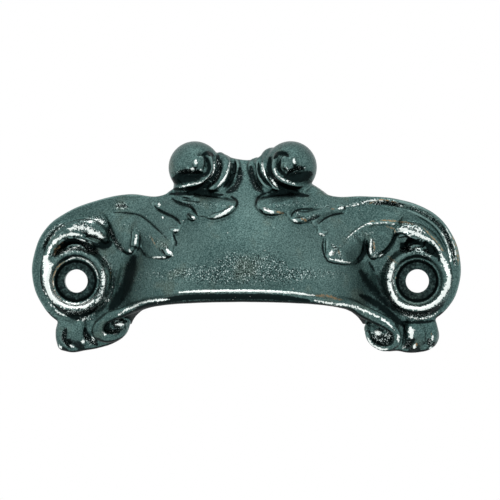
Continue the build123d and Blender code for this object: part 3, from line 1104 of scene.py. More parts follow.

# %% [markdown]
# Some highlights and shade are painted where the shape alone does not give them: painted
# highlights on the rings and along the lip bead, and painted shade under the volutes. These
# are strokes again, painted this time, with a strength in place of a height. The warm
# strokes are where the plating has rubbed through to a bronze-coloured layer. The glint
# strokes paint bright glints of light beside black flecks where the skin is pitted.

# %% List the painted strokes
# Painted highlights: bright marks laid where light catches the rings, waves, rims, leaf tips, volutes,
# toes and the lip bead.
highlight_strokes = [
    # Left ear
    (1.15, 1.1, [
        (-44.9, 5.2), (-44.3, 3.0), (-44.2, 0.6), (-44.0, -1.6), (-43.0, -3.6), (-41.4, -4.8),
    ]),
    (0.8, 1.05, [
        (-43.4, -3.2), (-42.0, -4.5), (-40.0, -5.3), (-38.1, -5.5), (-36.1, -5.3),
        (-34.2, -4.4),
    ]),
    (1.2, 0.72, [(-31.4, 2.8), (-31.2, -0.6), (-31.7, -3.2), (-33.4, -5.2)]),
    (0.22, 0.8, [(-40.3, 4.4), (-38.0, 5.3), (-35.3, 4.4), (-33.6, 2.5), (-33.0, 0.5)]),
    (0.4, 0.85, [
        (-45.0, 2.6), (-44.6, 5.0), (-43.6, 7.6), (-42.2, 9.2), (-40.7, 10.1), (-38.6, 10.5),
        (-36.8, 10.2),
    ]),
    (0.8, 0.62, [(-39.6, 11.4), (-37.6, 12.0), (-35.3, 11.8), (-33.8, 11.2)]),
    (0.7, 0.72, [(-35.0, 10.9), (-33.4, 10.6), (-31.9, 9.7)]),
    (0.55, 0.68, [(-35.2, 13.3), (-33.1, 13.6), (-32.1, 12.8)]),
    (0.22, 0.8, [(-38.0, 9.7), (-36.3, 8.9), (-34.4, 8.1)]),
    (0.35, 0.6, [(-44.1, -4.8), (-42.3, -6.8), (-40.1, -8.0)]),
    (0.25, 0.65, [(-37.8, -8.9), (-35.8, -8.3), (-34.1, -7.2), (-32.6, -5.6)]),
    (0.3, 0.6, [(-44.8, 8.3), (-43.7, 10.0), (-42.3, 11.4), (-40.8, 12.5)]),
    (0.25, 0.7, [(-40.8, 6.3), (-38.8, 7.3), (-37.1, 7.8)]),
    # Lip bead
    (0.26, 1.3, [(-14.1, -2.5), (-9.1, -2.25), (0.9, -2.15), (5.9, -2.3), (10.9, -2.6), (15.9, -3.2)]),
    (0.35, 0.75, [(15.6, -4.2), (19.6, -5.0), (23.6, -5.5), (27.6, -7.0), (31.1, -8.9), (33.1, -10.8)]),
    # Right ear
    (1.1, 0.66, [(32.8, 4.2), (32.2, 1.4), (32.3, -1.2), (32.9, -3.4), (34.1, -5.0)]),
    (0.5, 1.0, [
        (32.6, -3.3), (34.2, -5.0), (36.1, -5.8), (39.3, -6.0), (41.9, -5.0), (43.9, -3.0),
        (45.0, -0.8),
    ]),
    (0.6, 0.9, [(43.2, -3.8), (45.0, -0.9), (45.2, 1.0), (44.7, 2.9), (43.9, 4.6), (43.4, 6.4)]),
    (0.28, 0.8, [(43.8, 4.8), (42.9, 7.2), (41.4, 8.9), (40.2, 9.8)]),
    (0.55, 0.78, [(40.8, 9.1), (39.2, 9.9), (37.4, 10.7), (35.2, 11.5), (33.9, 11.6)]),
    (0.8, 0.45, [(39.8, 10.8), (37.6, 11.9), (35.4, 12.4)]),
    (0.22, 0.8, [(36.4, 3.7), (37.9, 4.2), (39.7, 4.3)]),
    (0.22, 0.8, [(33.4, 10.9), (34.5, 11.1), (35.8, 10.6), (36.8, 9.8)]),
    (0.3, 0.6, [(37.7, 7.3), (39.0, 7.1)]),
    (0.25, 0.6, [(33.7, -6.3), (35.7, -7.8), (38.7, -8.4), (41.2, -7.9), (42.7, -6.8)]),
    # Right rim
    (0.22, 0.7, [(22.4, 16.6), (24.6, 16.9), (27.7, 17.9), (31.0, 17.8)]),
    (0.22, 0.85, [(33.6, 17.0), (37.1, 16.4), (40.0, 15.1), (42.5, 13.5), (43.6, 12.2)]),
    (0.2, 0.85, [(43.2, 11.6), (44.5, 8.9), (45.3, 6.2), (45.7, 4.0)]),
    (0.2, 0.8, [(44.4, 12.0), (45.7, 9.3), (46.5, 6.8), (46.8, 4.5)]),
    (0.2, 0.7, [(22.6, 9.4), (24.6, 11.2), (26.9, 12.6), (29.0, 12.8), (31.2, 12.9), (33.2, 12.6)]),
    # Leaf tips
    (0.3, 0.85, [(-24.2, 10.4), (-24.4, 9.3), (-24.7, 7.9)]),
    (0.3, 0.7, [(-26.0, 7.0), (-25.6, 6.4)]),
    (0.4, 0.95, [(-17.1, 7.0), (-16.4, 6.3), (-15.7, 5.7)]),
    (0.22, 0.85, [(-20.3, 5.2), (-19.0, 5.3), (-17.3, 5.2)]),
    (0.32, 0.9, [(-15.6, 11.2), (-14.4, 11.2)]),
    (0.28, 0.8, [(-18.4, 14.0), (-18.0, 14.1)]),
    (0.3, 0.85, [(-19.3, 17.2), (-19.0, 16.6)]),
    (0.3, 0.85, [(-11.5, 14.4), (-10.8, 13.7)]),
    (0.35, 0.9, [(-6.4, 13.9), (-4.6, 14.8), (-3.4, 15.6), (-2.4, 16.5)]),
    (0.4, 1.0, [(4.4, 16.1), (5.4, 15.6), (6.7, 15.0)]),
    (0.3, 0.85, [(10.9, 13.5), (12.0, 13.0)]),
    (0.3, 0.85, [(20.6, 16.1), (21.7, 16.3)]),
    (0.3, 0.85, [(16.7, 10.4), (17.8, 10.1)]),
    (0.5, 1.0, [(18.9, 5.9), (19.9, 6.3)]),
    (0.22, 0.85, [(19.0, 4.9), (21.2, 4.4), (23.6, 4.0)]),
    (0.32, 0.9, [(27.9, 9.3), (27.8, 7.4), (27.8, 6.0)]),
    (0.25, 0.85, [(27.8, 5.3), (29.0, 5.4), (30.3, 6.0)]),
    # Volutes
    (0.2, 0.85, [(-7.0, 26.6), (-7.0, 24.8), (-7.9, 23.2), (-9.4, 22.0), (-11.7, 21.5), (-14.6, 20.8)]),
    (0.32, 0.95, [(-3.4, 26.6), (-3.6, 24.8), (-4.5, 22.8), (-6.1, 20.8)]),
    (0.3, 0.95, [(-10.9, 27.0), (-10.7, 25.9)]),
    (0.38, 0.95, [(-11.9, 24.9), (-11.2, 24.6)]),
    (0.22, 0.8, [(-9.9, 24.8), (-9.5, 24.4)]),
    (0.3, 0.95, [(10.9, 27.1), (11.1, 26.0)]),
    (0.25, 0.85, [(9.2, 25.1), (9.7, 24.8)]),
    (0.2, 0.85, [(6.6, 25.9), (6.8, 24.2), (7.8, 23.0), (9.6, 22.0), (11.3, 21.5)]),
    (0.3, 0.95, [(3.7, 26.4), (4.0, 24.6), (5.1, 23.0), (7.1, 20.9)]),
    # Feet and scrolls
    (0.35, 0.85, [(-41.9, -14.3), (-41.4, -15.0)]),
    (0.4, 0.9, [(-39.4, -14.3), (-38.6, -15.0)]),
    (0.4, 0.85, [(-36.6, -13.1), (-36.4, -13.8)]),
    (0.4, 0.9, [(-34.5, -12.6), (-34.0, -13.2)]),
    (0.4, 0.85, [(-31.9, -11.3), (-31.2, -12.1)]),
    (0.5, 0.9, [(-29.6, -9.4), (-28.4, -9.7), (-27.3, -9.5)]),
    (0.35, 0.8, [
        (-28.3, -7.5), (-26.5, -6.4), (-25.0, -5.8), (-22.6, -4.7), (-19.4, -4.3),
        (-16.5, -4.1),
    ]),
    (0.7, 1.0, [(36.7, -10.4), (36.9, -12.6)]),
    (0.35, 0.8, [(35.0, -14.5), (35.2, -15.0)]),
    (0.35, 0.9, [(37.7, -14.1), (37.4, -14.9)]),
    (0.35, 0.85, [(41.6, -12.1), (41.5, -13.2)]),
    (0.35, 0.85, [(40.8, -15.0), (41.6, -14.8)]),
    (0.4, 0.8, [(33.9, -12.0), (33.9, -13.6)]),
    (0.3, 0.8, [(27.0, -12.4), (28.0, -14.0), (29.8, -15.1), (31.5, -15.2)]),
    (0.55, 0.9, [(28.8, -11.3), (30.0, -11.6)]),
]
# Painted shade: black marks laid in the pockets, the valleys, round the leaves, under the volutes, in
# the scrolls and under the lip bead.
shade_strokes = [
    # Ears
    (0.6, 1.0, [(-37.1, 9.2), (-34.5, 8.3), (-31.9, 7.7), (-30.9, 8.0)]),
    (1.0, 1.25, [(-33.2, 8.0), (-31.4, 8.1), (-30.4, 8.6)]),
    (0.45, 0.95, [(-41.0, 7.9), (-39.3, 8.9), (-36.3, 8.6)]),
    (0.3, 1.0, [(33.0, 9.6), (33.8, 10.4), (35.2, 10.5), (36.2, 9.4)]),
    (1.0, 1.1, [(34.6, 8.2), (35.6, 7.4), (36.4, 7.2)]),
    (0.5, 1.1, [(35.8, 9.0), (38.0, 8.5), (40.5, 8.0), (42.1, 7.0), (42.9, 5.6), (43.0, 4.4)]),
    (0.45, 1.0, [(39.4, 6.9), (41.2, 6.4), (42.4, 5.4)]),
    (0.7, 0.95, [(-40.8, -6.7), (-39.3, -7.0), (-36.8, -7.5), (-34.6, -6.7)]),
    (0.8, 1.1, [(-39.8, -7.6), (-37.6, -8.0), (-35.4, -8.0)]),
    (0.5, 0.95, [(33.8, -5.9), (36.2, -7.2), (39.7, -7.7)]),
    (0.28, 1.0, [(-45.8, 3.6), (-45.8, 0.2), (-44.9, -2.8), (-42.5, -5.7), (-40.0, -7.1)]),
    # Where the hood meets the ears
    (1.8, 0.95, [(-25.0, 5.2), (-25.8, 1.8), (-26.6, -0.8), (-28.4, -3.8), (-30.2, -6.0)]),
    (1.3, 0.8, [(25.6, 2.2), (27.6, -0.8), (29.6, -3.4), (31.8, -5.6)]),
    (0.9, 1.0, [(25.7, -3.2), (28.2, -4.5), (31.0, -6.5), (33.7, -8.8), (34.9, -9.8)]),
    # Round the leaves
    (0.3, 0.95, [(-30.8, 12.3), (-29.7, 9.9), (-28.6, 7.6), (-27.4, 6.5), (-26.2, 5.9)]),
    (0.28, 0.9, [(-23.5, 10.4), (-23.6, 7.8), (-24.3, 6.6)]),
    (0.3, 0.9, [(-23.5, 7.6), (-22.9, 6.6), (-22.1, 5.5)]),
    (0.3, 0.95, [(26.9, 9.2), (26.8, 7.0), (25.9, 5.0), (24.4, 3.7)]),
    (0.4, 0.8, [(27.4, 4.2), (28.6, 2.2)]),
    (0.3, 0.95, [(29.6, 5.2), (31.0, 6.6), (32.4, 8.2), (33.6, 10.2)]),
    (0.45, 1.0, [(28.4, 17.3), (31.6, 17.3), (34.8, 16.8)]),
    (0.2, 0.95, [(35.2, 16.7), (38.6, 15.6), (41.6, 13.8), (43.6, 11.8)]),
    (0.28, 1.0, [(43.8, 11.7), (45.2, 8.7), (46.0, 6.1), (46.4, 3.6)]),
    (0.2, 0.8, [
        (-29.6, 15.3), (-26.0, 15.1), (-23.7, 14.6), (-21.5, 13.2), (-19.5, 11.5),
        (-17.3, 9.6),
    ]),
    (0.25, 1.0, [
        (-20.2, 16.8), (-19.8, 16.2), (-18.0, 15.2), (-16.1, 14.4), (-14.8, 13.5),
        (-14.0, 12.5),
    ]),
    (0.25, 0.95, [(-15.8, 10.6), (-15.0, 8.7), (-15.1, 7.7)]),
    (0.25, 0.95, [(-18.2, 7.1), (-17.4, 5.9)]),
    (0.28, 1.0, [(-16.4, 18.3), (-14.2, 17.3), (-12.2, 16.7), (-11.0, 15.5), (-10.3, 14.4)]),
    (0.25, 0.95, [(-12.6, 14.9), (-11.4, 13.8)]),
    (0.5, 1.0, [(-16.8, 19.4), (-12.8, 19.4), (-8.8, 19.2), (-5.0, 19.1)]),
    (0.3, 1.0, [(-3.1, 18.8), (-1.8, 17.9), (-1.5, 17.2), (-1.9, 16.4)]),
    (0.25, 1.0, [(3.4, 15.9), (4.2, 15.3)]),
    (0.25, 0.95, [(10.5, 14.0), (10.9, 15.2), (12.3, 15.9), (15.1, 16.0)]),
    (0.25, 0.95, [(14.4, 13.4), (16.8, 14.5)]),
    (0.25, 0.95, [(16.5, 12.7), (17.9, 13.9), (19.6, 14.8), (21.7, 15.0)]),
    (0.25, 0.9, [(21.9, 16.6), (22.2, 15.8)]),
    (0.45, 0.7, [(-29.0, 16.7), (-27.8, 16.8), (-26.4, 16.5)]),
    (0.25, 1.0, [(17.5, 9.4), (17.4, 7.5), (17.8, 5.7), (18.6, 4.5)]),
    # Feet and scrolls
    (0.6, 1.2, [(-40.3, -10.8), (-40.7, -12.8), (-39.9, -13.9), (-39.1, -15.0)]),
    (0.6, 1.2, [(-36.0, -10.6), (-35.6, -12.4), (-34.4, -13.5), (-33.4, -14.2)]),
    (0.6, 0.95, [(-30.8, -9.1), (-30.8, -10.8), (-29.3, -11.5), (-28.2, -11.3)]),
    (0.3, 0.9, [(-29.3, -8.6), (-27.3, -8.6)]),
    (0.85, 1.2, [(37.3, -13.0), (36.4, -13.8), (35.8, -14.8)]),
    (0.22, 0.9, [(34.9, -9.0), (35.1, -12.0), (34.7, -14.6)]),
    (0.18, 0.6, [(39.5, -9.8), (40.0, -11.6), (39.8, -14.0)]),
    (0.4, 1.0, [(34.6, -9.0), (37.0, -9.2), (40.0, -9.1), (41.8, -8.8)]),
    (0.5, 0.9, [(40.8, -13.3), (40.6, -14.1)]),
    (1.5, 0.95, [(28.2, -12.6), (29.6, -13.3), (31.4, -12.8), (32.2, -11.8)]),
    # Volutes and their bands
    (1.35, 1.2, [(-16.2, 22.2), (-14.0, 22.8), (-11.4, 23.2), (-9.6, 23.8)]),
    (1.35, 1.2, [(9.2, 23.2), (11.0, 23.0), (13.0, 23.2), (14.4, 23.8)]),
    (0.5, 1.1, [(-9.4, 28.0), (-8.2, 28.4), (-7.2, 27.8)]),
    (0.5, 1.1, [(-9.0, 27.6), (-8.2, 26.6), (-7.9, 25.3), (-8.3, 24.0), (-9.5, 23.2)]),
    (0.7, 1.15, [(-6.2, 27.8), (-5.9, 26.0), (-5.9, 24.4), (-6.6, 22.5), (-8.4, 21.0)]),
    (0.45, 1.1, [(-15.9, 20.5), (-12.5, 20.3), (-9.0, 20.0), (-6.0, 20.0)]),
    (0.45, 1.1, [(-2.4, 26.4), (-2.5, 24.1), (-3.2, 22.6), (-4.7, 20.9)]),
    (0.85, 1.0, [(-1.3, 25.0), (-1.4, 22.6), (-2.2, 20.7), (-3.9, 19.7)]),
    (0.5, 1.1, [(9.7, 27.7), (8.6, 28.4), (7.3, 28.2), (6.6, 27.2)]),
    (0.5, 1.1, [(8.0, 26.6), (7.6, 25.4), (8.1, 24.2), (9.5, 23.2)]),
    (0.6, 1.15, [(5.5, 27.4), (5.3, 25.6), (5.6, 24.2), (6.5, 22.8), (8.0, 21.5), (10.4, 20.8)]),
    (0.4, 1.1, [(2.9, 26.2), (3.1, 24.2), (4.2, 22.5), (5.9, 20.9)]),
    (0.85, 1.0, [(1.2, 25.4), (1.5, 23.2), (2.3, 21.2), (3.9, 19.8)]),
    (0.3, 1.0, [(5.9, 19.8), (3.6, 19.1), (2.8, 17.9), (2.7, 16.9)]),
    (0.55, 1.1, [(6.2, 18.9), (9.0, 19.2), (12.0, 19.1), (14.0, 18.9)]),
    # Underside of the lip bead
    (0.7, 1.25, [
        (-24.0, -6.2), (-20.0, -5.0), (-15.0, -3.95), (-10.0, -3.5), (0.9, -3.4), (6.0, -3.5),
        (11.0, -3.9), (14.5, -4.4),
    ]),
    (0.4, 0.7, [(15.5, -5.2), (20.0, -6.1), (24.0, -7.2)]),
]
warm = [
    (0.45, 0.65, [(16.0, -3.2), (18.8, -3.4), (21.8, -4.2)]),
    (0.25, 0.62, [(-40.6, 4.4), (-42.5, 2.6), (-43.2, 0.0), (-42.6, -2.6), (-41.0, -4.2)]),
    (0.6, 0.48, [(-43.1, 5.6), (-42.4, 7.4), (-41.2, 8.6)]),
    (0.3, 0.6, [(-32.3, 10.4), (-31.6, 10.1)]),
    (0.3, 0.6, [(-30.4, 2.8), (-30.4, 0.6)]),
    (0.25, 0.55, [(-21.2, 10.4), (-19.4, 7.4)]),
    (0.28, 0.6, [(-4.0, 16.4), (-2.8, 16.9)]),
    (0.35, 0.8, [(7.1, 15.3), (8.8, 15.0)]),
    (0.35, 0.75, [(12.6, 13.9), (13.8, 13.3)]),
    (0.3, 0.55, [(18.6, 16.0), (20.4, 16.1)]),
    (0.35, 0.7, [(21.0, 6.8), (21.1, 5.9)]),
    (0.4, 0.5, [(20.0, 8.2), (21.2, 7.9)]),
    (0.25, 0.7, [(28.5, 9.0), (28.5, 6.6)]),
    (0.3, 0.6, [(27.6, 13.2), (30.7, 13.5), (34.7, 13.2), (37.4, 12.5)]),
    (0.25, 0.65, [(39.5, 11.8), (41.7, 9.5), (43.3, 7.7), (44.1, 6.1)]),
    (0.25, 0.55, [(31.2, 12.2), (33.0, 11.6), (33.2, 10.6)]),
    (0.35, 0.55, [(31.6, 5.6), (32.6, 4.6), (33.8, 3.9)]),
    (0.2, 0.65, [(34.2, 2.9), (33.4, 0.6), (33.6, -1.6)]),
    (0.25, 0.6, [(27.0, 17.0), (30.0, 18.1), (34.0, 17.4)]),
    (0.25, 0.6, [(45.7, 10.6), (46.9, 7.2), (47.3, 3.6)]),
    (0.3, 0.8, [(37.9, -13.9), (38.0, -14.5)]),
    (0.3, 0.8, [(41.3, -11.6), (41.3, -12.0)]),
]
# Painted glints: bright flecks of light on the grainy skin, beside black flecks where it is pitted.
glint_strokes = [
    # Hood
    (1.9, 0.46, [(-15.0, 1.8), (-5.0, 1.6), (5.0, 1.4), (15.0, 1.6)]),
    (2.6, 0.4, [(-5.0, 3.8), (2.0, 3.6), (9.0, 3.4)]),
    (1.4, 0.25, [(-24.0, 0.6), (-18.0, 1.4), (18.0, 1.6), (22.0, 1.0)]),
    # Left ear
    (0.5, 0.9, [(-45.3, 8.0), (-43.8, 10.6), (-42.0, 12.2), (-40.5, 12.4)]),
    (0.8, 0.9, [(-37.1, 12.9), (-34.5, 13.6), (-33.0, 13.6), (-31.2, 12.9)]),
    (0.9, 0.9, [(-38.6, 11.8), (-36.4, 11.8), (-33.8, 10.6), (-31.4, 9.9)]),
    (0.7, 0.9, [(-43.5, 5.8), (-41.2, 6.2), (-38.3, 7.3), (-35.3, 6.7), (-33.4, 6.2)]),
    (1.1, 1.0, [
        (-31.9, 5.1), (-31.2, 2.5), (-31.6, -0.9), (-32.7, -3.1), (-33.1, -5.0),
        (-35.3, -6.1),
    ]),
    (0.7, 0.9, [(-40.1, -7.0), (-37.5, -6.7), (-34.5, -5.9)]),
    (0.5, 0.8, [(-37.0, -8.4), (-34.5, -8.3)]),
    (0.7, 0.8, [(-29.4, 16.8), (-28.0, 16.8), (-26.6, 16.5)]),
    (0.6, 0.7, [(-30.6, 11.6), (-29.2, 8.8), (-27.4, 6.8)]),
    (0.5, 0.7, [(-18.0, 8.2), (-16.6, 6.8)]),
    # Right ear and rim
    (1.0, 0.9, [(31.9, 4.6), (31.4, 1.6), (31.7, -1.6), (32.8, -4.2), (34.4, -5.6)]),
    (0.7, 0.9, [(33.6, -6.2), (36.0, -7.6), (38.8, -8.0), (41.0, -7.4)]),
    (0.7, 0.9, [(34.4, 6.6), (36.6, 7.0), (39.0, 6.6), (41.0, 5.4)]),
    (0.7, 0.8, [(44.8, -1.6), (43.6, -3.8), (41.6, -5.6)]),
    (0.9, 0.9, [(34.6, 12.2), (37.0, 12.0), (39.2, 11.0)]),
    (0.4, 0.8, [(23.0, 16.7), (25.4, 17.2), (28.2, 17.9)]),
    (0.6, 0.95, [(28.2, 17.6), (31.6, 17.5), (34.8, 16.9)]),
    (0.4, 0.8, [(36.6, 16.4), (40.0, 14.8), (43.0, 12.4), (45.0, 9.0), (46.2, 5.4), (46.5, 3.4)]),
    # Right leaves
    (0.5, 0.7, [(19.4, 7.9), (20.8, 6.6), (21.4, 4.6)]),
    (0.4, 0.7, [(11.4, 15.4), (12.4, 14.0), (13.8, 13.6), (16.4, 14.8)]),
    (0.5, 0.6, [(28.4, 9.4), (28.4, 6.4), (30.4, 6.2)]),
    # Feet and scrolls
    (0.6, 0.4, [(-40.6, -10.8), (-40.9, -13.0), (-39.8, -14.6)]),
    (0.7, 0.5, [(-36.2, -11.8), (-35.6, -13.4), (-34.0, -13.8)]),
    (1.0, 0.8, [(-29.8, -9.4), (-28.0, -9.8), (-30.2, -11.4)]),
    (1.8, 0.8, [(28.4, -12.0), (30.2, -12.4), (31.8, -12.2)]),
    (0.8, 0.4, [(36.2, -13.6), (35.8, -14.6)]),
    (0.7, 0.8, [(41.0, -13.0), (40.8, -14.4)]),
    # Volutes
    (0.4, 0.5, [(-15.8, 24.2), (-13.2, 24.4), (-10.6, 24.5)]),
    (0.4, 0.5, [(9.6, 24.4), (11.8, 24.9), (13.8, 25.2)]),
    (0.5, 0.45, [(-6.4, 27.0), (-5.8, 25.4), (-6.2, 23.4), (-7.6, 21.6)]),
    (0.8, 0.15, [(1.2, 25.4), (1.5, 23.2), (2.3, 21.2), (3.9, 19.8)]),
    (0.8, 0.15, [(-1.3, 25.0), (-1.4, 22.6), (-2.2, 20.7), (-3.9, 19.7)]),
    # Leaves
    (0.7, 0.2, [(-28.0, 12.6), (-25.6, 12.4), (-21.0, 9.6), (-18.2, 8.4)]),
    (0.7, 0.2, [(-13.4, 17.4), (-8.0, 16.8), (-4.0, 16.6)]),
    (0.7, 0.2, [(4.4, 17.2), (8.0, 16.6), (12.6, 17.0), (18.4, 16.6)]),
    (0.8, 0.2, [(20.0, 7.2), (22.6, 8.4), (25.0, 10.2), (28.8, 11.0)]),
]
print("Painted strokes:", len(highlight_strokes + shade_strokes + warm + glint_strokes))

# %% [markdown]
# The measures and the painted strokes become five values at each vertex. `edge` is a
# painted sheen where the shape is sharp, the second value holds the painted highlights,
# and the third the painted shade: black in the grooves and pockets, under the shade strokes
# and on whatever faces down. `warm` and the fifth value, the painted glints, are painted
# only. A painted stroke narrows towards its ends.

# %% Work out the five values
def painted(strokes):
    """The strongest of some strokes at each vertex, on the front only."""
    found = np.zeros(len(places))
    for half_width, strength, line in strokes:
        chosen, gap, along = near_line(places, line, 2.2 * half_width)
        width = half_width * np.clip(0.5 + np.minimum(along, 1 - along) * 3, 0, 1)
        found[chosen] = np.maximum(found[chosen], strength * np.exp(-((gap / width) ** 2)))
    return found * facing(normals)


# A painted sheen: sharp edges that stand up are painted lighter.
edge = ramp(sharp, 0.02, 0.09) * ramp(broad, -0.1, 0.05)
# Painted highlights, from the strokes above.
painted_highlight = painted(highlight_strokes)
# Painted shade: darker in the grooves, in the pockets, on faces that turn down and under the shade
# strokes, and none where highlights are painted.
shade_in_grooves = 0.4 * ramp(-sharp, 0.03, 0.14)
shade_in_pockets = 0.8 * ramp(-broad, 0.18, 0.5)
shade_facing_down = 0.8 * ramp(-normals[:, 2], 0.25, 0.75)
painted_shade = np.maximum.reduce([shade_in_grooves, shade_in_pockets, shade_facing_down, painted(shade_strokes)])
painted_shade *= 1 - ramp(painted_highlight, 0.2, 0.5)
warmth = painted(warm)
# Painted glints beside pit flecks.
glints_and_pits = painted(glint_strokes)
print("Highlights:", round(float(painted_highlight.mean()), 3), "grimy:", round(float(painted_shade.mean()), 3))

# %% [markdown]
# The cut and slimmed skin has other vertices, so each one takes the values of the nearest
# vertex of the carved skin. The cored hollow and the drilled holes have none near: they get
# no highlights and a little painted shade. The screw seats get painted shade too, darkest
# at their mouths, and the flat back, which lies against the drawer, is as it was plated.

# %% Hand the values to the finished skin
copy_reach = 0.4
seat_edge = 4.8
seat_starts = -1
back_ends = -0.1
# The cut faces get a little painted shade.
cut_face_shade = 0.35

tree = kdtree.KDTree(len(places))
for number, place in enumerate(places):
    tree.insert(place, number)
tree.balance()
found = [tree.find(vertex.co) for vertex in finished.vertices]
nearest = np.array([number for _, number, _ in found])
cut_face = np.array([gap for _, _, gap in found]) > copy_reach
spots, _ = read_skin(finished)
from_screw = np.hypot(np.abs(spots[:, 0]) - screw_across, spots[:, 2])
in_seat = (from_screw < seat_edge) & (spots[:, 1] < seat_starts)
on_back = spots[:, 1] > back_ends
# Painted shade in the screw seats, darkest towards their mouths.
seat_shade = 0.55 + 0.35 * ramp(from_screw, 3.9, 4.5)
for name, values, inside, seat in (
    ("edge", edge, 0.0, 0.0),
    ("painted_highlight", painted_highlight, 0.0, 0.0),
    ("painted_shade", painted_shade, cut_face_shade, seat_shade),
    ("warm", warmth, 0.0, 0.0),
    ("glints_and_pits", glints_and_pits, 0.0, 0.0),
):
    layer = finished.attributes.new(name, "FLOAT", "POINT")
    handed = np.where(in_seat, seat, np.where(cut_face, inside, values[nearest]))
    handed[on_back] = 0
    layer.data.foreach_set("value", handed.astype(np.float32))
print("Cut faces:", int(cut_face.sum()), "of", len(spots), "vertices")

# %% [markdown]
# The finished skin is turned into metres, shaded smooth except across sharp corners such as
# the rim of the flat back, and handed over as the piece that stands for the CAD solid.

# %% Hand over the casting
sharpest_smooth = math.radians(50)
finished.transform(Matrix.Scale(1 / mm_per_metre, 4))
finished.shade_smooth()
finished.set_sharp_from_angle(angle=sharpest_smooth)
pull = placed("pull_casting", finished)
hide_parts("pull")
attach(pull, "root")
print("Handed over:", pull.name, "with", len(finished.polygons), "faces")

# %% [markdown]
# ## The finish
#
# A finish is a chain of shader nodes, and nodes are easier to read as sums. `Signal` wraps
# a node's output so that plus, minus and times add the right Math nodes, and `Board.node`
# adds any other kind of node from its type, its settings and what goes into its sockets.

# %% Helpers for materials
class Signal:
    """A number, colour or vector that comes out of a node."""

    def __init__(self, board, socket):
        self.board = board
        self.socket = socket

    def math(self, operation, first, second):
        """A Math node on two numbers or signals."""
        return self.board.node("ShaderNodeMath", {"operation": operation}, {0: first, 1: second})

    def __add__(self, other):
        return self.math("ADD", self, other)

    def __sub__(self, other):
        return self.math("SUBTRACT", self, other)

    def __rsub__(self, other):
        return self.math("SUBTRACT", other, self)

    def __mul__(self, other):
        return self.math("MULTIPLY", self, other)

    __radd__ = __add__
    __rmul__ = __mul__


class Board:
    """The node tree of one material, or of the world."""

    def __init__(self, name, owner=None):
        self.material = owner or bpy.data.materials.new(name)
        self.material.use_nodes = True
        self.tree = self.material.node_tree
        self.tree.nodes.clear()

    def node(self, kind, settings, inputs, output=0):
        """A new node. Its settings are made first, because they can change its sockets."""
        made = self.tree.nodes.new(kind)
        for name, value in settings.items():
            setattr(made, name, value)
        for name, value in inputs.items():
            if isinstance(value, Signal):
                self.tree.links.new(value.socket, made.inputs[name])
            else:
                made.inputs[name].default_value = value
        return Signal(self, made.outputs[output]) if made.outputs else None


# %% [markdown]
# ### Dark plating
#
# The casting is plated nearly black with a green-blue cast. It is a metal all over. Its
# colour drifts a little, the hollows are painted black as shade, and whatever stands up gets
# painted highlights, broken up because the cast skin is grainy. Noise gives the grain.
# Added to a stored value before it rises from 0 to 1, it also breaks up the edge of each mark.

# %% Helpers and masks for the plating
plating = Board("dark_plating")
place = plating.node("ShaderNodeTexCoord", {}, {}, "Object")


def noise(scale, detail=2.0, rough=0.5):
    """Cloudy noise through the metal. Scale counts its clouds to a metre."""
    sockets = {"Vector": place, "Scale": scale, "Detail": detail, "Roughness": rough}
    return plating.node("ShaderNodeTexNoise", {}, sockets)


def stored(name):
    """One of the five values stored at the vertices."""
    return plating.node("ShaderNodeAttribute", {"attribute_name": name}, {}, "Fac")


def rise(value, start, end):
    """0 before start, 1 after end, and a smooth rise between."""
    return plating.node(
        "ShaderNodeMapRange",
        {"interpolation_type": "SMOOTHSTEP"},
        {"Value": value, "From Min": start, "From Max": end},
    )


def blend(factor, first, second):
    """The first colour where the factor is 0, and the second where it is 1."""
    sockets = {"Factor": factor, "A": first, "B": second}
    return plating.node("ShaderNodeMix", {"data_type": "RGBA"}, sockets, "Result")


grain = noise(2600, 3.0, 0.6)
speckle = noise(1300, 2.0, 0.6)
fine = noise(3600, 2.0, 0.6)
drift = noise(90, 3.0)
# Masks for the painted highlights, the painted sheen on edges and the painted shade, each broken up by
# noise.
highlight_mask = rise(stored("painted_highlight") + (speckle - 0.5) * 1.2 + (grain - 0.5), 0.45, 0.62)
sheen_mask = rise(stored("edge") + (speckle - 0.5) * 0.8, 0.3, 0.9)
shade_mask = rise(stored("painted_shade") + (grain - 0.5) * 0.5 + (speckle - 0.5) * 0.5, 0.2, 0.75)
warm_mask = rise(stored("warm") + (speckle - 0.5) * 1.4, 0.3, 0.8)
print("Masks made, so the plating has", len(plating.tree.nodes), "nodes so far")

# %% [markdown]
# The colours are laid one over another, from the plating itself to the brightest painted
# highlight. The drift and the fine grain come first, then the painted sheen of the edges and
# the painted shade of the hollows. On a glinting place the troughs of the fine noise turn
# black and its peaks turn into painted glints. The painted highlights and the
# bronze-coloured layer lie on top.

# %% Mix the colours of the plating
dark_plating = (0.056, 0.109, 0.104, 1)
light_plating = (0.08, 0.142, 0.134, 1)
olive_tint = (0.105, 0.12, 0.085, 1)
light_grain = (0.15, 0.235, 0.222, 1)
dark_grain = (0.018, 0.038, 0.038, 1)
# Painted light: the edge sheen, the black shade, the glints and the white highlights are painted into
# the colour. The black flecks are pits and the bronze layer is wear.
painted_sheen = (0.19, 0.29, 0.275, 1)
painted_shade_black = (0.006, 0.012, 0.012, 1)
black_fleck = (0.008, 0.014, 0.014, 1)
painted_glint = (0.62, 0.72, 0.7, 1)
painted_highlight_white = (0.85, 0.92, 0.89, 1)
bronze_layer = (0.34, 0.225, 0.115, 1)

tone = blend(rise(drift, 0.35, 0.65), dark_plating, light_plating)
tone = blend(rise(noise(170, 3.0), 0.54, 0.7) * 0.35, tone, olive_tint)
tone = blend(rise(fine, 0.5, 0.66) * 0.55, tone, light_grain)
tone = blend(rise(1 - fine, 0.48, 0.62) * 0.62, tone, dark_grain)
# Painted sheen on the sharp edges.
tone = blend(sheen_mask * 0.5, tone, painted_sheen)
